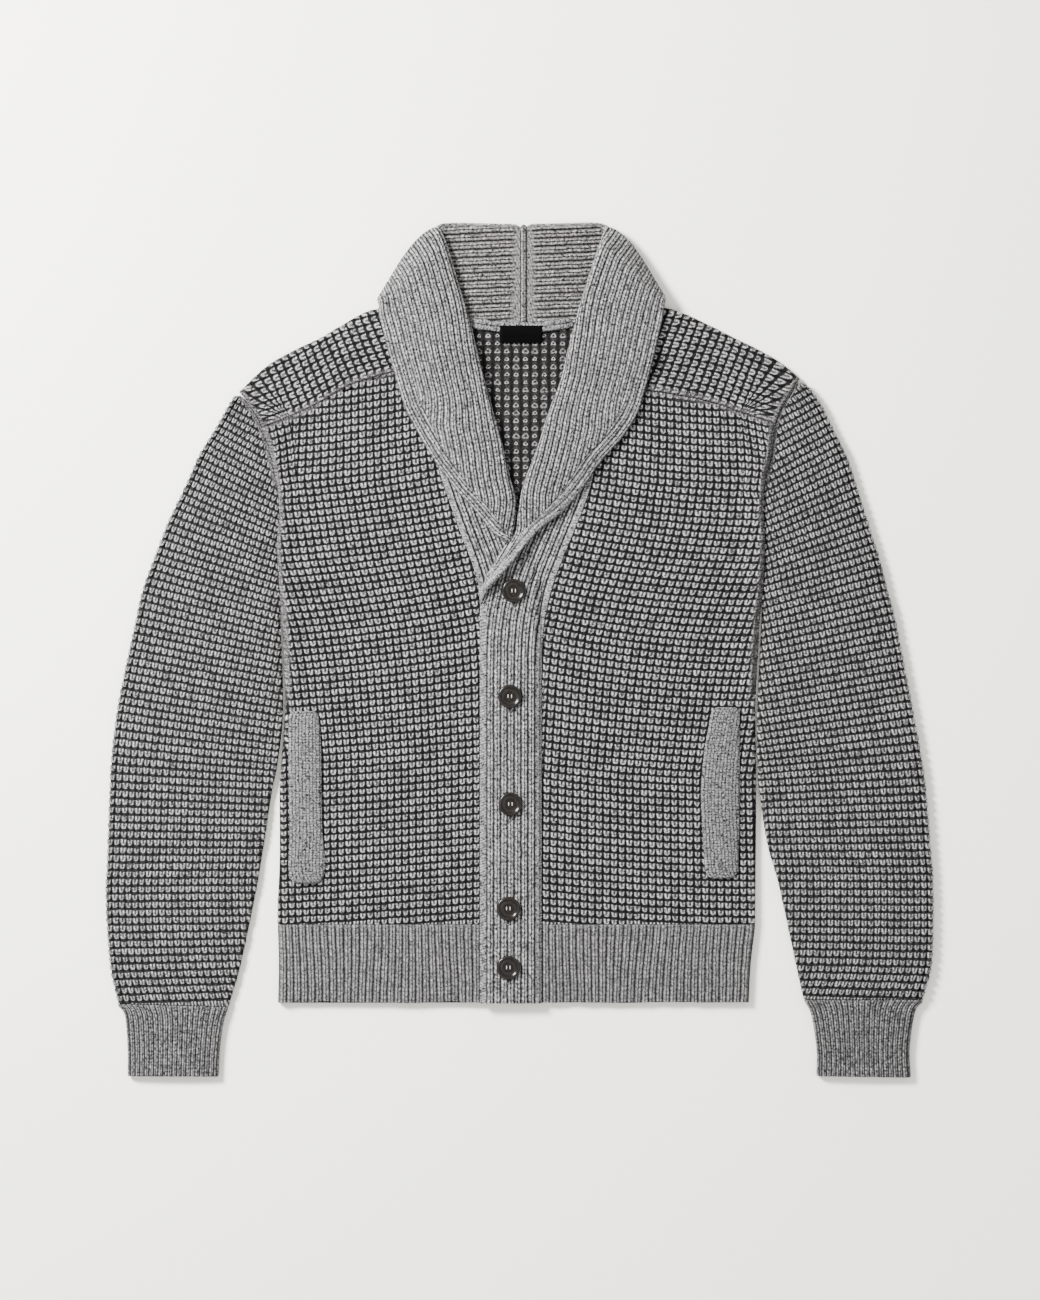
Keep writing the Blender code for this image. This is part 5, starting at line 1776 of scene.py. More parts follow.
def through(rows: Array, step: float, least: int) -> tuple[Array, Array]:
    """Pass smooth surfaces through a few sections.

    Args:
        rows: sections by columns of points.
        step: wanted distance between the new sections.
        least: fewest new sections in a span.

    Returns:
        The dense grid, and the place of each of its sections counted in old sections.
    """
    gaps = np.linalg.norm(np.diff(rows, axis=0), axis=2).mean(axis=1)
    at = np.concatenate([[0.0], np.cumsum(gaps)])
    slope = np.empty_like(rows)
    slope[1:-1] = (rows[2:] - rows[:-2]) / (at[2:] - at[:-2])[:, None, None]
    slope[0], slope[-1] = (rows[1] - rows[0]) / gaps[0], (rows[-1] - rows[-2]) / gaps[-1]
    out, place = [], []
    for i, gap in enumerate(gaps):
        t = np.linspace(0, 1, max(least, math.ceil(gap / step)) + 1)[:-1]
        place.append(i + t)
        t = t[:, None, None]
        out.append((2 * t ** 3 - 3 * t * t + 1) * rows[i]
                   + (t ** 3 - 2 * t * t + t) * gap * slope[i]
                   + (3 * t * t - 2 * t ** 3) * rows[i + 1]
                   + (t ** 3 - t * t) * gap * slope[i + 1])
    return np.concatenate([*out, rows[-1:]]), np.concatenate([*place, [len(rows) - 1.0]])


@dataclass
class Band:
    """A band with its half of the shawl collar, rolled over along the roll line."""

    hand: Hand
    table: Rows
    seam: Rows
    last: float  # sections below this follow the panel's seam curve
    over: bool  # whether it lies on the other band
    stand_columns: int = 86
    roll_columns: int = 7
    lapel_columns: int = 64
    edge_columns: int = 19
    step_mm: float = 2.6
    rib_mm: float = 6.1
    stand_rib_mm: float = 6.5
    back_rib_mm: float = 7.5
    back_slope: float = 0.045  # slope of the level ribs behind
    stitch_mm: float = 4.3
    edge_mm: float = 18.3  # three ribs that follow the free edge
    relief_mm: float = 1.1
    back_relief_mm: float = 1.8  # ribs stand out more where the collar is stretched
    corner_bow: float = 7.0  # how far the collar's corners swell out
    swell_mm: float = 2.0  # how far the fall puffs up between its roll and its edge
    tongue_mm: float = 5.5  # how far the lower end of the upper fall stands off
    puff_mm: float = 7.0  # how much the upper fall rises toward its roll
    skew: float = 0.09  # how far the fall's ribs stray from the roll line

    def fall_shares(self, length: float) -> Array:
        """Share out the fall's columns: the lapel's own ribs, then the ribs along its edge.

        Args:
            length: the fall's length from the roll to the free edge.

        Returns:
            Fractions of that length.
        """
        split = 1 - min(self.edge_mm / length, 0.85)
        return np.concatenate([np.linspace(0, split, self.lapel_columns),
                               np.linspace(split, 1, self.edge_columns)])

    def folded(self, seam: Array, roll: Array, edge: Array,
               turn: float) -> tuple[Array, Array]:
        """Roll and fall of a section that is folded right over.

        Args:
            seam: the section's seam point in plan.
            roll: its point on the roll line.
            edge: its point on the free edge.
            turn: its angle round the side of the neck.

        Returns:
            Where the stand ends, and the points of the roll and the fall.
        """
        a, b = ((p - roll) / np.linalg.norm(p - roll) for p in (seam, edge))
        nose = roll + (a + b) / np.linalg.norm(a + b) * BAND_WALL / 2
        reach = min(REACH, 0.45 * float(np.linalg.norm(edge - nose)))
        start, end = nose + a * reach, nose + b * reach
        share = self.fall_shares(float(np.linalg.norm(edge - end)))[:, None]
        fall = end + (edge - end) * share
        out = np.array([b[1], -b[0]]) * -np.sign(b[0])
        fall += out * self.corner_bow * math.cos(math.radians(turn)) * np.sin(
            math.pi * share ** 0.6)
        if turn < 90.0:
            tall = STACK_Z + FALL_TURN * math.sin(math.radians(turn))
            high, nose_z = np.full(len(fall), tall), tall
        else:
            high = stand_height(fall[:, 0], fall[:, 1], turn, self.over) + COLLAR_STEP
            tongue = (1 - float(ease((roll[1] - 84.0) / 45.0))) * self.over
            high += self.swell_mm * np.sin(math.pi * share[:, 0])
            high += self.tongue_mm * tongue * share[:, 0] ** 2
            puff = self.puff_mm * self.over * float(ease((roll[1] - 112.0) / 30.0))
            high += puff * (1 - share[:, 0])
            nose_z = float(stand_height(nose[0], nose[1], turn, self.over)) + COLLAR_STEP + puff
        low = float(stand_height(start[0], start[1], turn, self.over))
        push = reach / 3 * abs(math.sin(math.radians(turn)))
        t = np.linspace(0, 1, self.roll_columns + 2)[1:-1, None]
        ends = [np.array([*p, z]) for p, z in ((start, low), (nose - a * push, low),
                                               (nose - b * push, nose_z), (end, nose_z))]
        bend = ((1 - t) ** 3 * ends[0] + 3 * (1 - t) ** 2 * t * ends[1]
                + 3 * (1 - t) * t * t * ends[2] + t ** 3 * ends[3])
        return start, np.vstack([bend, np.column_stack([fall, high])])

    def lifted(self, seam: Array, roll: Array, edge: Array, bend: float,
               turn: float) -> tuple[Array, Array]:
        """Roll and fall of a section that is flat, or folded by less than a half turn.

        Args:
            seam: the section's seam point in plan.
            roll: its point on the roll line.
            edge: its point on the free edge.
            bend: how far it is folded, in degrees.
            turn: its angle round the side of the neck.

        Returns:
            Where the stand ends, and the points of the roll and the fall.
        """
        flat, radius, angle = bend == 0.0, COLLAR_STEP / 2, math.radians(bend)
        target = edge if flat else roll
        run = (target - seam) / np.linalg.norm(target - seam)
        part = np.linspace(0, 1, self.roll_columns + 2)[1:]
        if flat:
            back, length = REACH, FLAT_FALL
            across, rise = (REACH - FLAT_FALL) * part, 0 * part
        else:
            back, length = radius + BAND_WALL / 2, float(np.linalg.norm(edge - roll))
            across, rise = radius * np.sin(angle * part), radius * (1 - np.cos(angle * part))
        start = target - run * back
        (*across, out), (*rise, up) = across, rise
        reach = length * self.fall_shares(length)
        across = np.concatenate([across, out + reach * math.cos(angle)])
        rise = np.concatenate([rise, up + reach * math.sin(angle)])
        base = float(stand_height(start[0], start[1], turn, self.over))
        return start, np.column_stack([start + run * across[:, None], base + rise])

    def section(self, row: tuple[float, ...]) -> Array:
        """Lay out one section.

        Args:
            row: the section's row of the table.

        Returns:
            Its middle line, from the seam to the free edge.
        """
        seam, roll, edge = (np.array(row[i:i + 2], dtype=float) for i in (0, 2, 4))
        bend, turn = row[6:]
        if row[1] < self.last and turn == 90.0:
            seam[0] = at_level(self.seam, [row[1]])[0, 0] + self.hand.inward * SEAM * 1.5
        start, tail = self.folded(seam, roll, edge, turn) if bend == 180.0 else \
            self.lifted(seam, roll, edge, bend, turn)
        stand = seam + (start - seam) * np.linspace(0, 1, self.stand_columns)[:, None]
        high = stand_height(stand[:, 0], stand[:, 1], turn, self.over)
        return np.vstack([np.column_stack([stand, high]), tail])

    def read(self, place: Array, column: int) -> Array:
        """Read a column of the table at the sections' places."""
        return np.interp(place, np.arange(len(self.table)), [row[column] for row in self.table])

    def front_weight(self, place: Array) -> tuple[Array, int]:
        """How far each section counts as part of the front, and not of the turn or the back.

        Args:
            place: each section's place in the table.

        Returns:
            The weights as a column, and the number of sections that reach the back.
        """
        weight = (1 - ease((self.read(place, 1) - 285.0) / 35.0)) * (self.read(place, 7) > 89.0)
        return weight[:, None], int(np.sum(weight > 0)) + 1

    def stand_cells(self, middle: Array, place: Array) -> Array:
        """Pattern coordinates of the upper face: ribs that follow the seam.

        Args:
            middle: the middle surface.
            place: each section's place in the table.

        Returns:
            Ribs and stitches at each point.
        """
        arc = run_length(middle)
        run = run_length(middle[:, 0])
        turns = self.read(place, 7)
        pitch = np.interp(turns, [-90.0, 90.0], [self.back_rib_mm, self.stand_rib_mm])[:, None]
        weight, count = self.front_weight(place)
        ahead, aside = beside(middle[:count, 0, :2], middle[..., :2])
        flat = np.minimum(aside, arc + 2.0)
        u = (arc * (1 - weight) + flat * weight) / pitch
        v = (run[:, None] * (1 - weight) + ahead * weight) / self.stitch_mm
        x, y = middle[..., 0], middle[..., 1]
        behind = (turns < BEHIND_TURN)[:, None]
        return np.dstack([np.where(behind, (y - self.back_slope * x) / self.back_rib_mm, u),
                          np.where(behind, x / self.stitch_mm, v)])

    def fall_cells(self, middle: Array, outer: Array,
                   place: Array) -> Array:
        """Pattern coordinates of the under face, which shows on the fall.

        Args:
            middle: the middle surface.
            outer: the skin that shows on the fall.
            place: each section's place in the table.

        Returns:
            Ribs and stitches at each point.
        """
        nose = self.stand_columns + self.roll_columns // 2
        flat = self.stand_columns + self.roll_columns
        split = flat + self.lapel_columns
        weight, count = self.front_weight(place)
        arc = run_length(outer) - run_length(outer)[:, nose:nose + 1]
        width = arc[:, split - 1:split]
        ribs = (float(np.median(width[count // 2:])) + self.rib_mm / 2) / self.rib_mm
        fitted = arc / np.maximum(width, 1.0) * (round(ribs) - 0.5) + 0.5
        plain = arc / self.rib_mm + 0.5
        run = run_length(middle[:, nose])[:, None] / self.stitch_mm
        ahead, aside = beside(middle[:count, nose, :2], middle[..., :2])
        shift = arc[:, flat:flat + 1] - aside[:, flat:flat + 1]
        plan = np.dstack([(aside + shift) / self.rib_mm + 0.5, ahead / self.stitch_mm])
        plan[:, :flat, 0] = plain[:, :flat]
        level = middle[:, nose, 1:2]
        high = ease((level - 205.0) / 40.0) * weight + (1 - weight)
        stray = self.skew * np.minimum(ahead - ahead[count - 1:count], 0.0) / self.rib_mm
        share = np.clip(arc / np.maximum(width, 1.0), 0.0, 1.0)
        cells = np.dstack([plan[..., 0] * (1 - high) + fitted * high
                           + stray * weight * (1 - high * share),
                           plan[..., 1] * weight + run * (1 - weight)])
        edge_run, edge_aside = beside(middle[:count, -1, :2], middle[:, split:, :2])
        aside_arc = arc[:, -1:] - arc[:, split:]
        away = edge_aside * weight + aside_arc * (1 - weight)
        cells[:, split:, 0] = 40.0 - away / (self.edge_mm / 3.0)
        level = run_length(middle[:, -1])[:, None]
        cells[:, split:, 1] = (edge_run * weight + level * (1 - weight)) / self.stitch_mm
        return cells

    def build(self, rib: Material, inside: Material) -> Piece:
        """Knit the band.

        Args:
            rib: its material.
            inside: the same ribs stretched open, with a darker yarn colour as painted shade,
                inside the back of the collar.

        Returns:
            The band.
        """
        rows = np.array([self.section(row) for row in self.table])
        middle, place = through(rows, self.step_mm, 4)
        plain = Section(middle, BAND_WALL, middle[..., :2], probe=self.stand_columns // 2)
        _, outer = plain.skins()
        stand, fall = self.stand_cells(middle, place), self.fall_cells(middle, outer, place)
        last, flat = middle.shape[1], self.stand_columns + self.roll_columns
        split = flat + self.lapel_columns
        turns, bends = self.read(place, 7), self.read(place, 6)
        calm = np.clip(np.abs(turns) / 90.0, 0.35, 1.0)[:, None]
        arc, behind = run_length(middle), (turns < BEHIND_TURN)[:, None]
        end = run_length(middle[::-1, :1].swapaxes(0, 1))[0, ::-1, None]
        linked = seam_share(arc, 4.4) * ~behind
        linked = np.maximum(linked, seam_share(arc[:, -1:] - arc, 6.2) * (bends < 1.0)[:, None])
        linked = np.maximum(linked, 0.85 * (1 - ease((end - 3.0) / 8.0)) * behind)
        stand = np.dstack([stand, linked])
        nose_y = middle[:, flat:flat + 1, 1]
        plain_end = np.tile(0.75 * (1 - ease((nose_y - 72.0) / 16.0)), fall.shape[1])
        plain_end[:, split:] = 0.65 * (1 - ease((nose_y - 130.0) / 50.0))
        fall = np.dstack([fall, plain_end * self.over * (bends > 1.0)[:, None]])
        hidden = self.stand_columns + 1
        fall[:, :hidden] = np.where(behind[..., None], stand[:, :hidden], fall[:, :hidden])
        face = (rib_profile(stand, self.relief_mm) - 0.6) * calm
        face += (0.3 - face) * linked
        face[:, flat:] = -0.3
        back = (rib_profile(fall, self.relief_mm) - 0.6) * calm
        inner = rib_profile(stand, self.back_relief_mm) - 0.6
        inner += (0.3 - inner) * linked
        back[:, :self.stand_columns] = np.where(behind, inner, 0.0)[:, :self.stand_columns]
        back[:, split - 1:split + 1] = -0.6
        back *= ease(bends / 120.0)[:, None]
        face[:, 0] = -0.3
        section = Section(middle, BAND_WALL, stand, probe=self.stand_columns // 2,
                          relief=face, under_relief=back)
        upper, lower = section.skins()
        top = [*range(flat + 1), *range(flat + 8, last - 1, 10), last - 1]
        low = sorted({*range(0, self.stand_columns, 2), *range(self.stand_columns - 2, last)})
        points, cells = close_loop(upper[:, top], lower[:, low], stand[:, top], fall[:, low])
        points[..., 2] = np.maximum(points[..., 2], 0.0)
        node = "band_" + self.hand.value
        mesh = sheet_grid(node + "_rib", points, cells)
        # painted shade: the faces behind the neck take the darker collar rib
        behind_columns = sum(column < self.stand_columns for column in low) + 1
        shown = np.arange(points.shape[1] - 1)[::-1] < behind_columns
        mesh.polygons.foreach_set(
            "material_index", (behind[:-1] & shown).astype(np.int32).ravel())
        obj = finish_mesh(mesh, [rib, inside])
        return declare(obj, node,
                       (float(run_length(middle)[:, -1].max()),
                        float(run_length(middle[:, 0]).max())),
                       section.area())


# ---------------------------------------------------------------- sewn-on pieces
@dataclass
class Trim:
    """A strip of cloth that is linked or sewn on, rounded toward its long edges."""

    name: str
    rows: Rows  # x, y, height of the middle and half width
    thickness: float
    crown: float  # how much higher its middle is
    rests_on: list[str]
    across: tuple[float, float] | None = None  # direction across, if not square to the run
    columns: int = 26
    step_mm: float = 1.2
    column_mm: float = 3.3
    stitch_mm: float = 2.5
    round_mm: float = 2.4  # how far in its edges are rounded
    least_cut: float = 10.5  # narrowest cut, with what turns under

    def build(self, node: str, slot: str, cloth: Material) -> Piece:
        """Make the strip.

        Args:
            node: the solid it stands for.
            slot: not used.
            cloth: its material.

        Returns:
            The strip.
        """
        length = run_length(np.array(self.rows)[:, :3])[-1]
        line = along(self.rows, np.linspace(0, 1, int(length / self.step_mm)))
        step = np.gradient(line[:, :2], axis=0)
        side = np.stack([step[:, 1], -step[:, 0]], -1)
        side /= np.maximum(np.linalg.norm(side, axis=1, keepdims=True), 1e-9)
        if self.across:
            side = np.tile(np.array(self.across), (len(line), 1))
        part = np.sin(np.linspace(-1, 1, self.columns) * math.pi / 2)
        plan = line[:, None, :2] + side[:, None] * (line[:, 3:] * part)[..., None]
        middle = np.dstack([plan, np.tile(line[:, 2:3], (1, self.columns))])
        run = run_length(line[:, :3])[:, None] + 0 * part
        cells = np.dstack([line[:, 3:] * (part + 1) / self.column_mm, -run / self.stitch_mm])
        inset = np.minimum((1 - np.abs(part)) * line[:, 3:], np.minimum(run, length - run))
        edge = np.clip(1 - inset / self.round_mm, 0, 1)
        relief = self.crown * (1 - part ** 2) - 0.45 * self.thickness * edge ** 2
        section = Section(middle, self.thickness, cells, probe=self.columns // 2, relief=relief)
        obj = cloth_wall(self.name, section, list(range(self.columns)), [cloth])
        width = max(2 * float(line[:, 3].max()), self.least_cut)
        return declare(obj, node, (width, float(length)), section.area())


WELT_Z, BINDING_Z = 8.2, 9.75
SEAM_Z, SEAM_LOW, SEAM_HALF, SEAM_X, SEAM_NOSE = 6.7, 2.0, 3.1, 2.5, 2.35
# Middle lines of the welts, with their half widths: x, y, half
WELT_LEFT: Rows = [(x, y, WELT_Z, half) for x, y, half in (
    (-206, -57.5, 9), (-206, -58.6, 11.6), (-206, -60.6, 13.4), (-206, -63.6, 14.4),
    (-205.8, -68, 14.8), (-205.4, -76, 15.2), (-205, -100, 15.6), (-204.6, -140, 15.5),
    (-204, -170, 15.7), (-203.4, -190, 17), (-203.2, -204, 17.6), (-203.2, -212, 16.8),
    (-203.2, -216.5, 15.2), (-203.2, -219.4, 12.6), (-203.2, -220.9, 9))]
WELT_RIGHT: Rows = [(x, y, WELT_Z, half) for x, y, half in (
    (194.4, -53.7, 8), (194.3, -54.8, 10.8), (194.1, -56.9, 12.6), (193.7, -60.2, 13.8),
    (193.2, -65, 14.4), (192.3, -75, 15.2), (190.5, -95, 16.9), (189, -134, 18.6),
    (189.6, -175, 17.4), (190, -200, 16.2), (190, -207.5, 15.6), (190, -212, 14.2),
    (190, -214.8, 12), (190, -216.1, 8.6))]
BINDING: Rows = [(x, y, BINDING_Z - sunk, 5.2) for x, y, sunk in (
    (-51, 312.2, 2.4), (-45, 310.8, 0.8), (-40, 309.8, 0), (-20, 307.2, 0), (0, 306.2, 0),
    (20, 307.2, 0), (40, 309.8, 0), (45, 310.8, 0.8), (50, 312.2, 2.4))]
LABEL: Rows = [(0, y, z, 20) for y, z in (
    (308, 11.25), (304, 11.25), (300, 11.1), (296.5, 10.2), (291.6, 9.3))]
# The seam runs up the collar, over its top edge and down behind it
SEAM_BACK: Rows = [(SEAM_X, y, z, SEAM_HALF) for y, z in (
    *((y, SEAM_Z) for y in (311, 340, 370, 396)),
    *((401.8 - SEAM_NOSE * (1 - math.cos(t)),
       (SEAM_Z + SEAM_LOW) / 2 + (SEAM_Z - SEAM_LOW) / 2 * math.sin(t))
      for t in (1.2, 0.8, 0.4, 0.0, -0.4, -0.8, -1.2)),
    *((y, SEAM_LOW) for y in (396, 340, 299)))]
TRIMS = [
    (Trim("collar_seam_knit", SEAM_BACK, 3.4, 0.9, ["band_left_rib", "band_right_rib"],
          across=(1.0, 0.0), columns=18, column_mm=3.1), "collar_back_seam", "linked_knit"),
    (Trim("neck_binding_knit", BINDING, 1.6, 0.5, ["band_left_rib", "band_right_rib"],
          columns=18, column_mm=5.2, stitch_mm=3.0), "neck_binding", "linked_knit"),
    (Trim("neck_label_cloth", LABEL, 1.0, 0.0, ["neck_binding_knit"], across=(1.0, 0.0),
          columns=30), "neck_label", "label_fabric"),
    (Trim("pocket_welt_left_knit", WELT_LEFT, 2.0, 1.4, ["front_left_knit"],
          across=(1.0, 0.0)), "pocket_welt_left", "linked_knit"),
    (Trim("pocket_welt_right_knit", WELT_RIGHT, 2.0, 1.4, ["front_right_knit"],
          across=(1.0, 0.0)), "pocket_welt_right", "linked_knit")]

# Buttons, from the top: x, y
BUTTONS: Rows = [(-6.9, 56.6), (-10.6, -43.4), (-10.0, -145.4), (-12.0, -244.4), (-12.0, -300.3)]
BUTTON_Z = 12.45  # underside of the buttons
BAND_TOP = 12.3  # height of the band's ribs, where the buttonholes are


@dataclass
class Button:
    """A turned four-hole button, sewn on with two stitches."""

    node: str
    x: float
    y: float
    radius: float = 11.25
    dish: float = 6.4  # where the flat of the dish starts
    floor: float = 1.9  # height of the dish over the underside
    hole_mm: float = 1.9
    spread_mm: float = 3.3  # from hole to hole
    thread_mm: float = 0.72
    sunk_mm: float = 0.3  # how high over the underside a stitch starts

    def profile(self) -> list[tuple[float, float]]:
        """Draw the turned shape.

        Returns:
            Distance from the middle and height, from the underside round the rim to the dish.
        """
        r = self.radius
        rows = [(r - 2.2, 0.0), (r - 0.6, 0.45), (r, 1.5), (r - 0.35, 2.55), (r - 1.4, 3.2),
                (r - 2.6, 2.9), (r - 3.6, 2.25), (self.dish, self.floor)]
        return [(self.dish, 0.0), *(tuple(p) for p in smooth_line(rows, 3))]

    def place(self, across: float, up: float, high: float) -> tuple[float, float, float]:
        """A point of the button in metres, from its middle in millimetres."""
        return (self.x + across) * MM, (self.y + up) * MM, (BUTTON_Z + high) * MM

    def holes(self) -> list[tuple[float, float]]:
        """Set out the four holes.

        Returns:
            Their middles, seen from the button's middle.
        """
        reach = self.spread_mm / math.sqrt(2.0)
        return [(reach * math.cos(math.pi / 4 * k), reach * math.sin(math.pi / 4 * k))
                for k in (1, 3, 5, 7)]

    def add_holes(self, bm: bmesh.types.BMesh) -> None:
        """Close the dish and the underside round the four holes, and wall the holes.

        Args:
            bm: the spun rim, open in its middle above and below.
        """
        rims = [e for e in bm.edges if e.is_boundary]
        rings: dict[float, list[list[bmesh.types.BMEdge]]] = {}
        for high in (0.0, self.floor):
            rings[high] = []
            for across, up in self.holes():
                made = bmesh.ops.create_circle(bm, segments=14, radius=self.hole_mm / 2 * MM)
                bmesh.ops.translate(bm, verts=made["verts"], vec=self.place(across, up, high))
                rings[high].append(
                    list(dict.fromkeys(e for v in made["verts"] for e in v.link_edges)))
            level = BUTTON_Z * MM + high * MM
            rim = [e for e in rims if abs(e.verts[0].co.z - level) < 1e-6]
            bmesh.ops.triangle_fill(bm, use_beauty=True, use_dissolve=False,
                                    edges=rim + [e for ring in rings[high] for e in ring])
        for low, high in zip(rings[0.0], rings[self.floor]):
            bmesh.ops.bridge_loops(bm, edges=low + high)

    def add_stitch(self, bm: bmesh.types.BMesh, start: tuple[float, float],
                   end: tuple[float, float]) -> None:
        """Sew a strand of thread from one hole to another.

        Args:
            bm: the button's mesh.
            start: middle of the first hole.
            end: middle of the second hole.
        """
        ring = bmesh.ops.create_circle(bm, cap_ends=True, segments=8,
                                       radius=self.thread_mm / 2 * MM)["verts"]
        bmesh.ops.translate(bm, verts=ring, vec=self.place(*start, self.sunk_mm))
        face = next(f for f in bm.faces if set(f.verts) == set(ring))
        face.material_index = 1
        for t in np.linspace(0, math.pi, 13)[1:]:
            share = (1 - math.cos(t)) / 2
            goal = self.place(start[0] + (end[0] - start[0]) * share,
                              start[1] + (end[1] - start[1]) * share,
                              self.sunk_mm + (self.floor + 0.35) * math.sin(t) ** 0.6)
            made = bmesh.ops.extrude_face_region(bm, geom=[face])
            ring = [g for g in made["geom"] if isinstance(g, bmesh.types.BMVert)]
            bmesh.ops.delete(bm, geom=[face], context="FACES_ONLY")
            face = next(g for g in made["geom"] if isinstance(g, bmesh.types.BMFace))
            centre = sum((v.co for v in ring), ring[0].co * 0.0) / len(ring)
            bmesh.ops.translate(bm, verts=ring, vec=[g - c for g, c in zip(goal, centre)])

    def build(self, horn: Material, thread: Material) -> Piece:
        """Turn the button, drill it and sew it on.

        Args:
            horn: its material.
            thread: the sewing thread's material.

        Returns:
            The button.
        """
        bm = bmesh.new()
        line = [bm.verts.new(self.place(r, 0.0, h)) for r, h in self.profile()]
        edges = [bm.edges.new(pair) for pair in zip(line, line[1:])]
        bmesh.ops.spin(bm, geom=line + edges, cent=self.place(0.0, 0.0, 0.0), axis=(0, 0, 1),
                       angle=math.tau, steps=56, use_merge=True)
        bmesh.ops.remove_doubles(bm, verts=bm.verts[:], dist=WELD)
        self.add_holes(bm)
        map_from_above(bm, (self.x, self.y), (self.radius, self.radius))
        first, second, third, fourth = self.holes()
        self.add_stitch(bm, second, third)
        self.add_stitch(bm, first, fourth)
        mesh = as_mesh(bm, self.node + "_horn")
        obj = finish_mesh(mesh, [horn, thread], sharp=38.0, cap=False)
        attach(obj, "root")
        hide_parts(self.node)
        LOG.info("%s: %d faces", obj.name, len(mesh.polygons))
        return obj


@dataclass
class Buttonhole:
    """A slit along the ribs with overcast lips, mostly hidden under its button."""

    name: str
    x: float
    y: float
    length: float = 24.0
    drop: float = 3.2  # how far it reaches lower than the button's middle
    half: float = 1.7  # half its width, to the middle of a lip
    lip: float = 0.5  # radius of a lip
    stitch_mm: tuple[float, float] = (3.3, 1.6)

    def build(self, lips: Material, dark: Material) -> Piece:
        """Work the buttonhole.

        Args:
            lips: material of the overcast lips.
            dark: material of the slit's floor, near black, as painted shade in its depth.

        Returns:
            The buttonhole.
        """
        bm = bmesh.new()
        ring = bmesh.ops.create_circle(bm, segments=8, radius=self.lip * MM)["verts"]
        bmesh.ops.rotate(bm, verts=ring, matrix=Matrix.Rotation(math.pi / 2, 3, "X"))
        bmesh.ops.translate(bm, verts=ring, vec=(self.half * MM, 0.0, 0.0))
        edges = list(dict.fromkeys(e for v in ring for e in v.link_edges))
        bmesh.ops.spin(bm, geom=ring + edges, axis=(0, 0, 1), cent=(0, 0, 0), angle=math.tau,
                       steps=36, use_merge=True)
        bmesh.ops.remove_doubles(bm, verts=bm.verts[:], dist=WELD)
        # painted shade: a near-black floor closes the slit
        made = bmesh.ops.create_circle(bm, cap_ends=True, segments=36, radius=self.half * MM)
        floor = next(f for f in bm.faces if f.verts[0] in set(made["verts"]))
        floor.material_index = 1
        reach = (self.length / 2 - self.half) * MM
        for vert in bm.verts:
            vert.co.y += math.copysign(reach, vert.co.y) * float(ease(abs(vert.co.y) / MM * 2))
        bmesh.ops.translate(bm, verts=bm.verts[:],
                            vec=(self.x * MM, (self.y - self.drop) * MM, BAND_TOP * MM))
        map_from_above(bm, (0.0, 0.0), self.stitch_mm)
        obj = finish_mesh(as_mesh(bm, self.name), [lips, dark], cap=False)
        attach(obj, "root")
        return obj


# ---------------------------------------------------------------- studio
@dataclass
class Studio:
    """A pale floor, soft light from the upper left and a camera straight overhead."""

    frame_mm: tuple[float, float] = (988.0, 1235.0)
    aim_mm: tuple[float, float] = (-0.95, 0.5)
    height: float = 4.2
    floor_half: float = 3.0
    floor_z: float = -0.0004  # just under the cloth
    room_light: float = 1.25
    sensor_mm: float = 36.0

    def build_floor(self) -> Piece:
        """Lay the floor.

        Returns:
            The floor.
        """
        bm = bmesh.new()
        bmesh.ops.create_grid(bm, x_segments=2, y_segments=2, size=self.floor_half)
        bmesh.ops.translate(bm, verts=bm.verts[:], vec=(0.0, 0.0, self.floor_z))
        floor = put_in("floor", as_mesh(bm, "floor"))
        floor.data.materials.append(PaintedFloor().material())
        return floor

    def add_light(self, name: str, place: tuple[float, float, float], size: float,
                  watts: float) -> None:
        """Hang a square soft light that faces the garment.

        Args:
            name: the light's name.
            place: where it hangs, in metres.
            size: side of its square.
            watts: its power.
        """
        lamp = bpy.data.lights.new(name, "AREA")
        lamp.size, lamp.energy = size, watts
        obj = put_in(name, lamp)
        obj.location = place
        obj.rotation_mode = "QUATERNION"
        obj.rotation_quaternion = (-obj.location).to_track_quat("-Z", "Y")

    def build_lights(self) -> None:
        """Light the garment: a key from the upper left, a fill, and the room."""
        self.add_light("key", (-1.65, 1.15, 1.5), 0.7, 322.0)
        self.add_light("fill", (1.6, -1.2, 2.8), 2.4, 25.0)
        world = bpy.data.worlds.new("room")
        world.use_nodes = True
        sky = world.node_tree.nodes["Background"].inputs
        sky["Color"].default_value = (1, 1, 1, 1)
        sky["Strength"].default_value = self.room_light
        bpy.context.scene.world = world

    def build_camera(self) -> None:
        """Set the camera straight above the garment."""
        data = bpy.data.cameras.new("overhead")
        data.sensor_width = self.sensor_mm
        data.lens = self.sensor_mm * self.height / (self.frame_mm[1] * MM)
        camera = put_in("overhead", data)
        camera.location = (self.aim_mm[0] * MM, self.aim_mm[1] * MM, self.height)
        bpy.context.scene.camera = camera


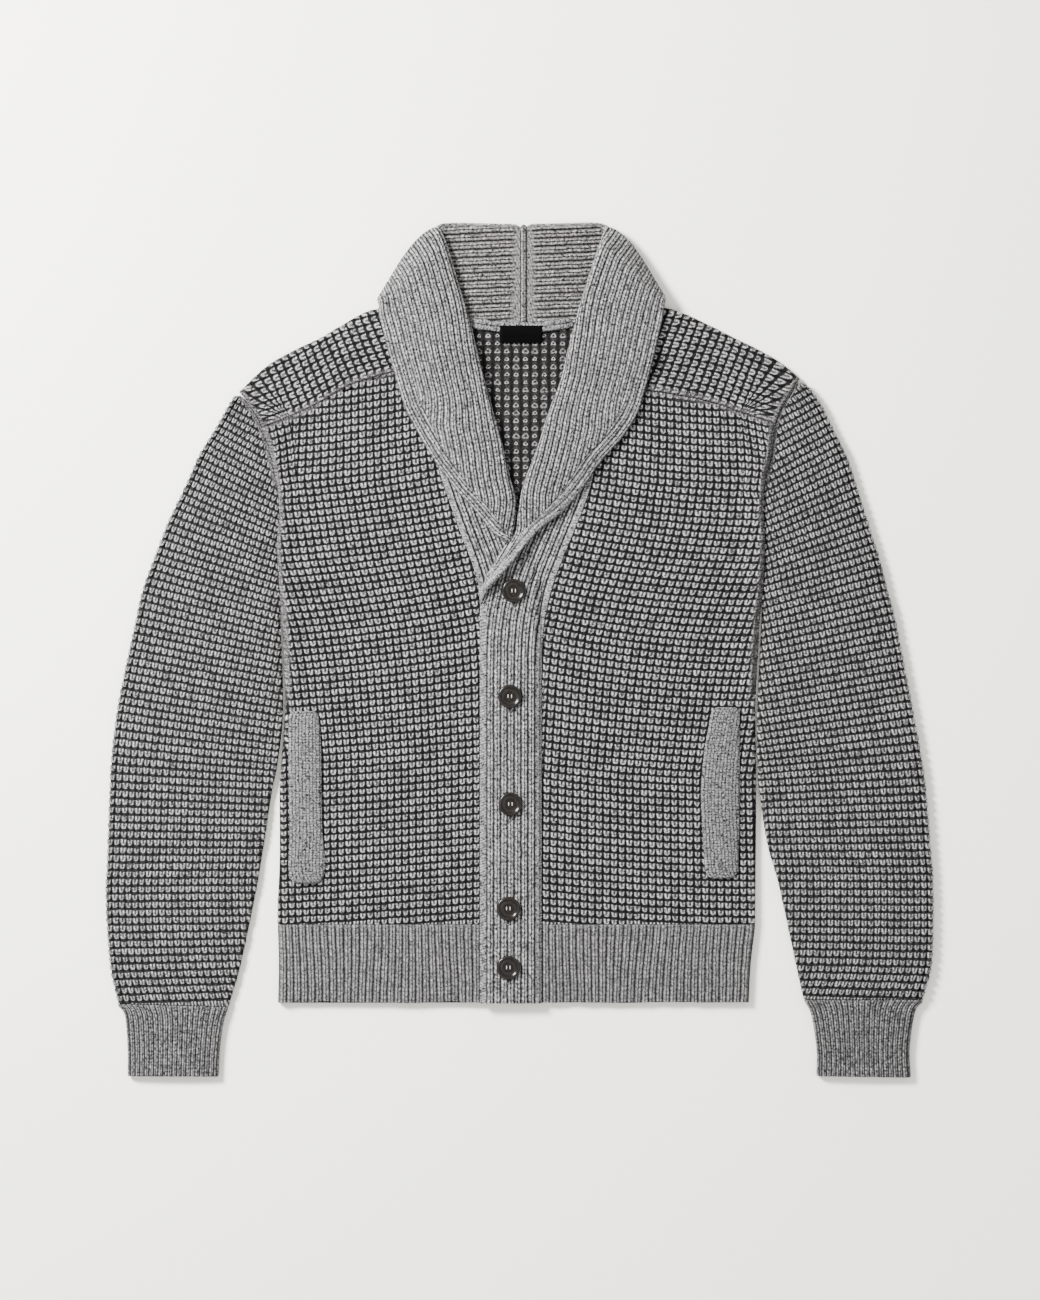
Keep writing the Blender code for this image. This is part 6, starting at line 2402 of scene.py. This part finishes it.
def main() -> None:
    """Build the cardigan in order and report each piece."""
    logging.basicConfig(level=logging.INFO, format="%(name)s %(message)s")
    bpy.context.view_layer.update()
    tuck = TuckKnit().material()
    close = TuckKnit(closed=0.35, ground="#111111", head="#4a4949", lit_leg="#8d8c8c").material()
    inside = TuckKnit(
        KnitSide.REVERSE, ground="#161515", head="#5d5b5a", lit_leg="#8f8d8c").material()
    hem_rib = RibKnit("wool_hem_rib", yarn="#5d5c5c", groove="#151515", groove_from=0.37,
                      hole=0.3, centre=0.6, lean=0.6, fade=1.0, marl_mm=1.6,
                      speckle=0.75).material()
    cuff_rib = RibKnit("wool_cuff_rib", yarn="#575656", groove="#1a1a1a", groove_from=0.37,
                       hole=0.3, centre=0.65, lean=0.6, fade=1.0, marl_mm=1.8,
                       speckle=0.95).material()
    studio = Studio()
    studio.build_floor()
    studio.build_lights()
    studio.build_camera()
    Back().build(tuck, inside)
    Front(Hand.LEFT, LEFT_SIDE, LEFT_BAND_SEAM, LEFT_SADDLE_FRONT, LEFT_BAND_LEVELS,
          LEFT_CORNER, LEFT_RISE, LEFT_WALES).build(tuck)
    Front(Hand.RIGHT, RIGHT_SIDE, RIGHT_BAND_SEAM, RIGHT_SADDLE_FRONT, RIGHT_BAND_LEVELS,
          RIGHT_CORNER, RIGHT_RISE, RIGHT_WALES).build(tuck)
    Saddle(Hand.LEFT, LEFT_SADDLE_FRONT, LEFT_SADDLE_FOLD, LEFT_SADDLE_BACK, (3.6, -2.2),
           LEFT_CORNER).build(tuck)
    Saddle(Hand.RIGHT, RIGHT_SADDLE_FRONT, RIGHT_SADDLE_FOLD, RIGHT_SADDLE_BACK, (-1.9, 1.1),
           RIGHT_CORNER).build(tuck)
    for hand, sleeve, cuff in ((Hand.LEFT, LEFT_SLEEVE, LEFT_CUFF),
                               (Hand.RIGHT, RIGHT_SLEEVE, RIGHT_CUFF)):
        Sleeve(hand, sleeve).build(close)
        Cuff(hand, cuff).build(cuff_rib)
    Hem("hem_back", LEFT_SIDE, RIGHT_SIDE, BACK_Z).build(hem_rib)
    Hem("hem_front_left", LEFT_SIDE, -38.7, FRONT_Z).build(hem_rib)
    Hem("hem_front_right", 20.3, RIGHT_SIDE, FRONT_Z).build(hem_rib)
    band_rib = RibKnit("wool_band_rib").material()
    # painted shade: a darker copy of the band rib for the inside of the back of the collar
    shaded_collar_rib = RibKnit("wool_collar_rib_in_shade", yarn="#5e5c5b", groove="#0d0c0c",
                         groove_from=0.32, fade=1.0).material()
    Band(Hand.LEFT, LEFT_BAND, LEFT_BAND_SEAM, 270.0, False).build(band_rib, shaded_collar_rib)
    Band(Hand.RIGHT, RIGHT_BAND, RIGHT_BAND_SEAM, 250.0, True).build(band_rib, shaded_collar_rib)
    linked = LinkedKnit().material()
    for strip, node, slot in TRIMS:
        strip.build(node, slot, LabelCloth().material() if slot == "label_fabric" else linked)
    # slit: near-black thread colour, as painted shade in the buttonhole slits
    horn, thread, slit = Horn().material(), Thread("#a9a49b").material(), Thread().material()
    for index, (x, y) in enumerate(BUTTONS, start=1):
        Button("button_%d" % index, x, y).build(horn, thread)
        Buttonhole("buttonhole_%d" % index, x, y).build(linked, slit)


if __name__ == "__main__":
    main()
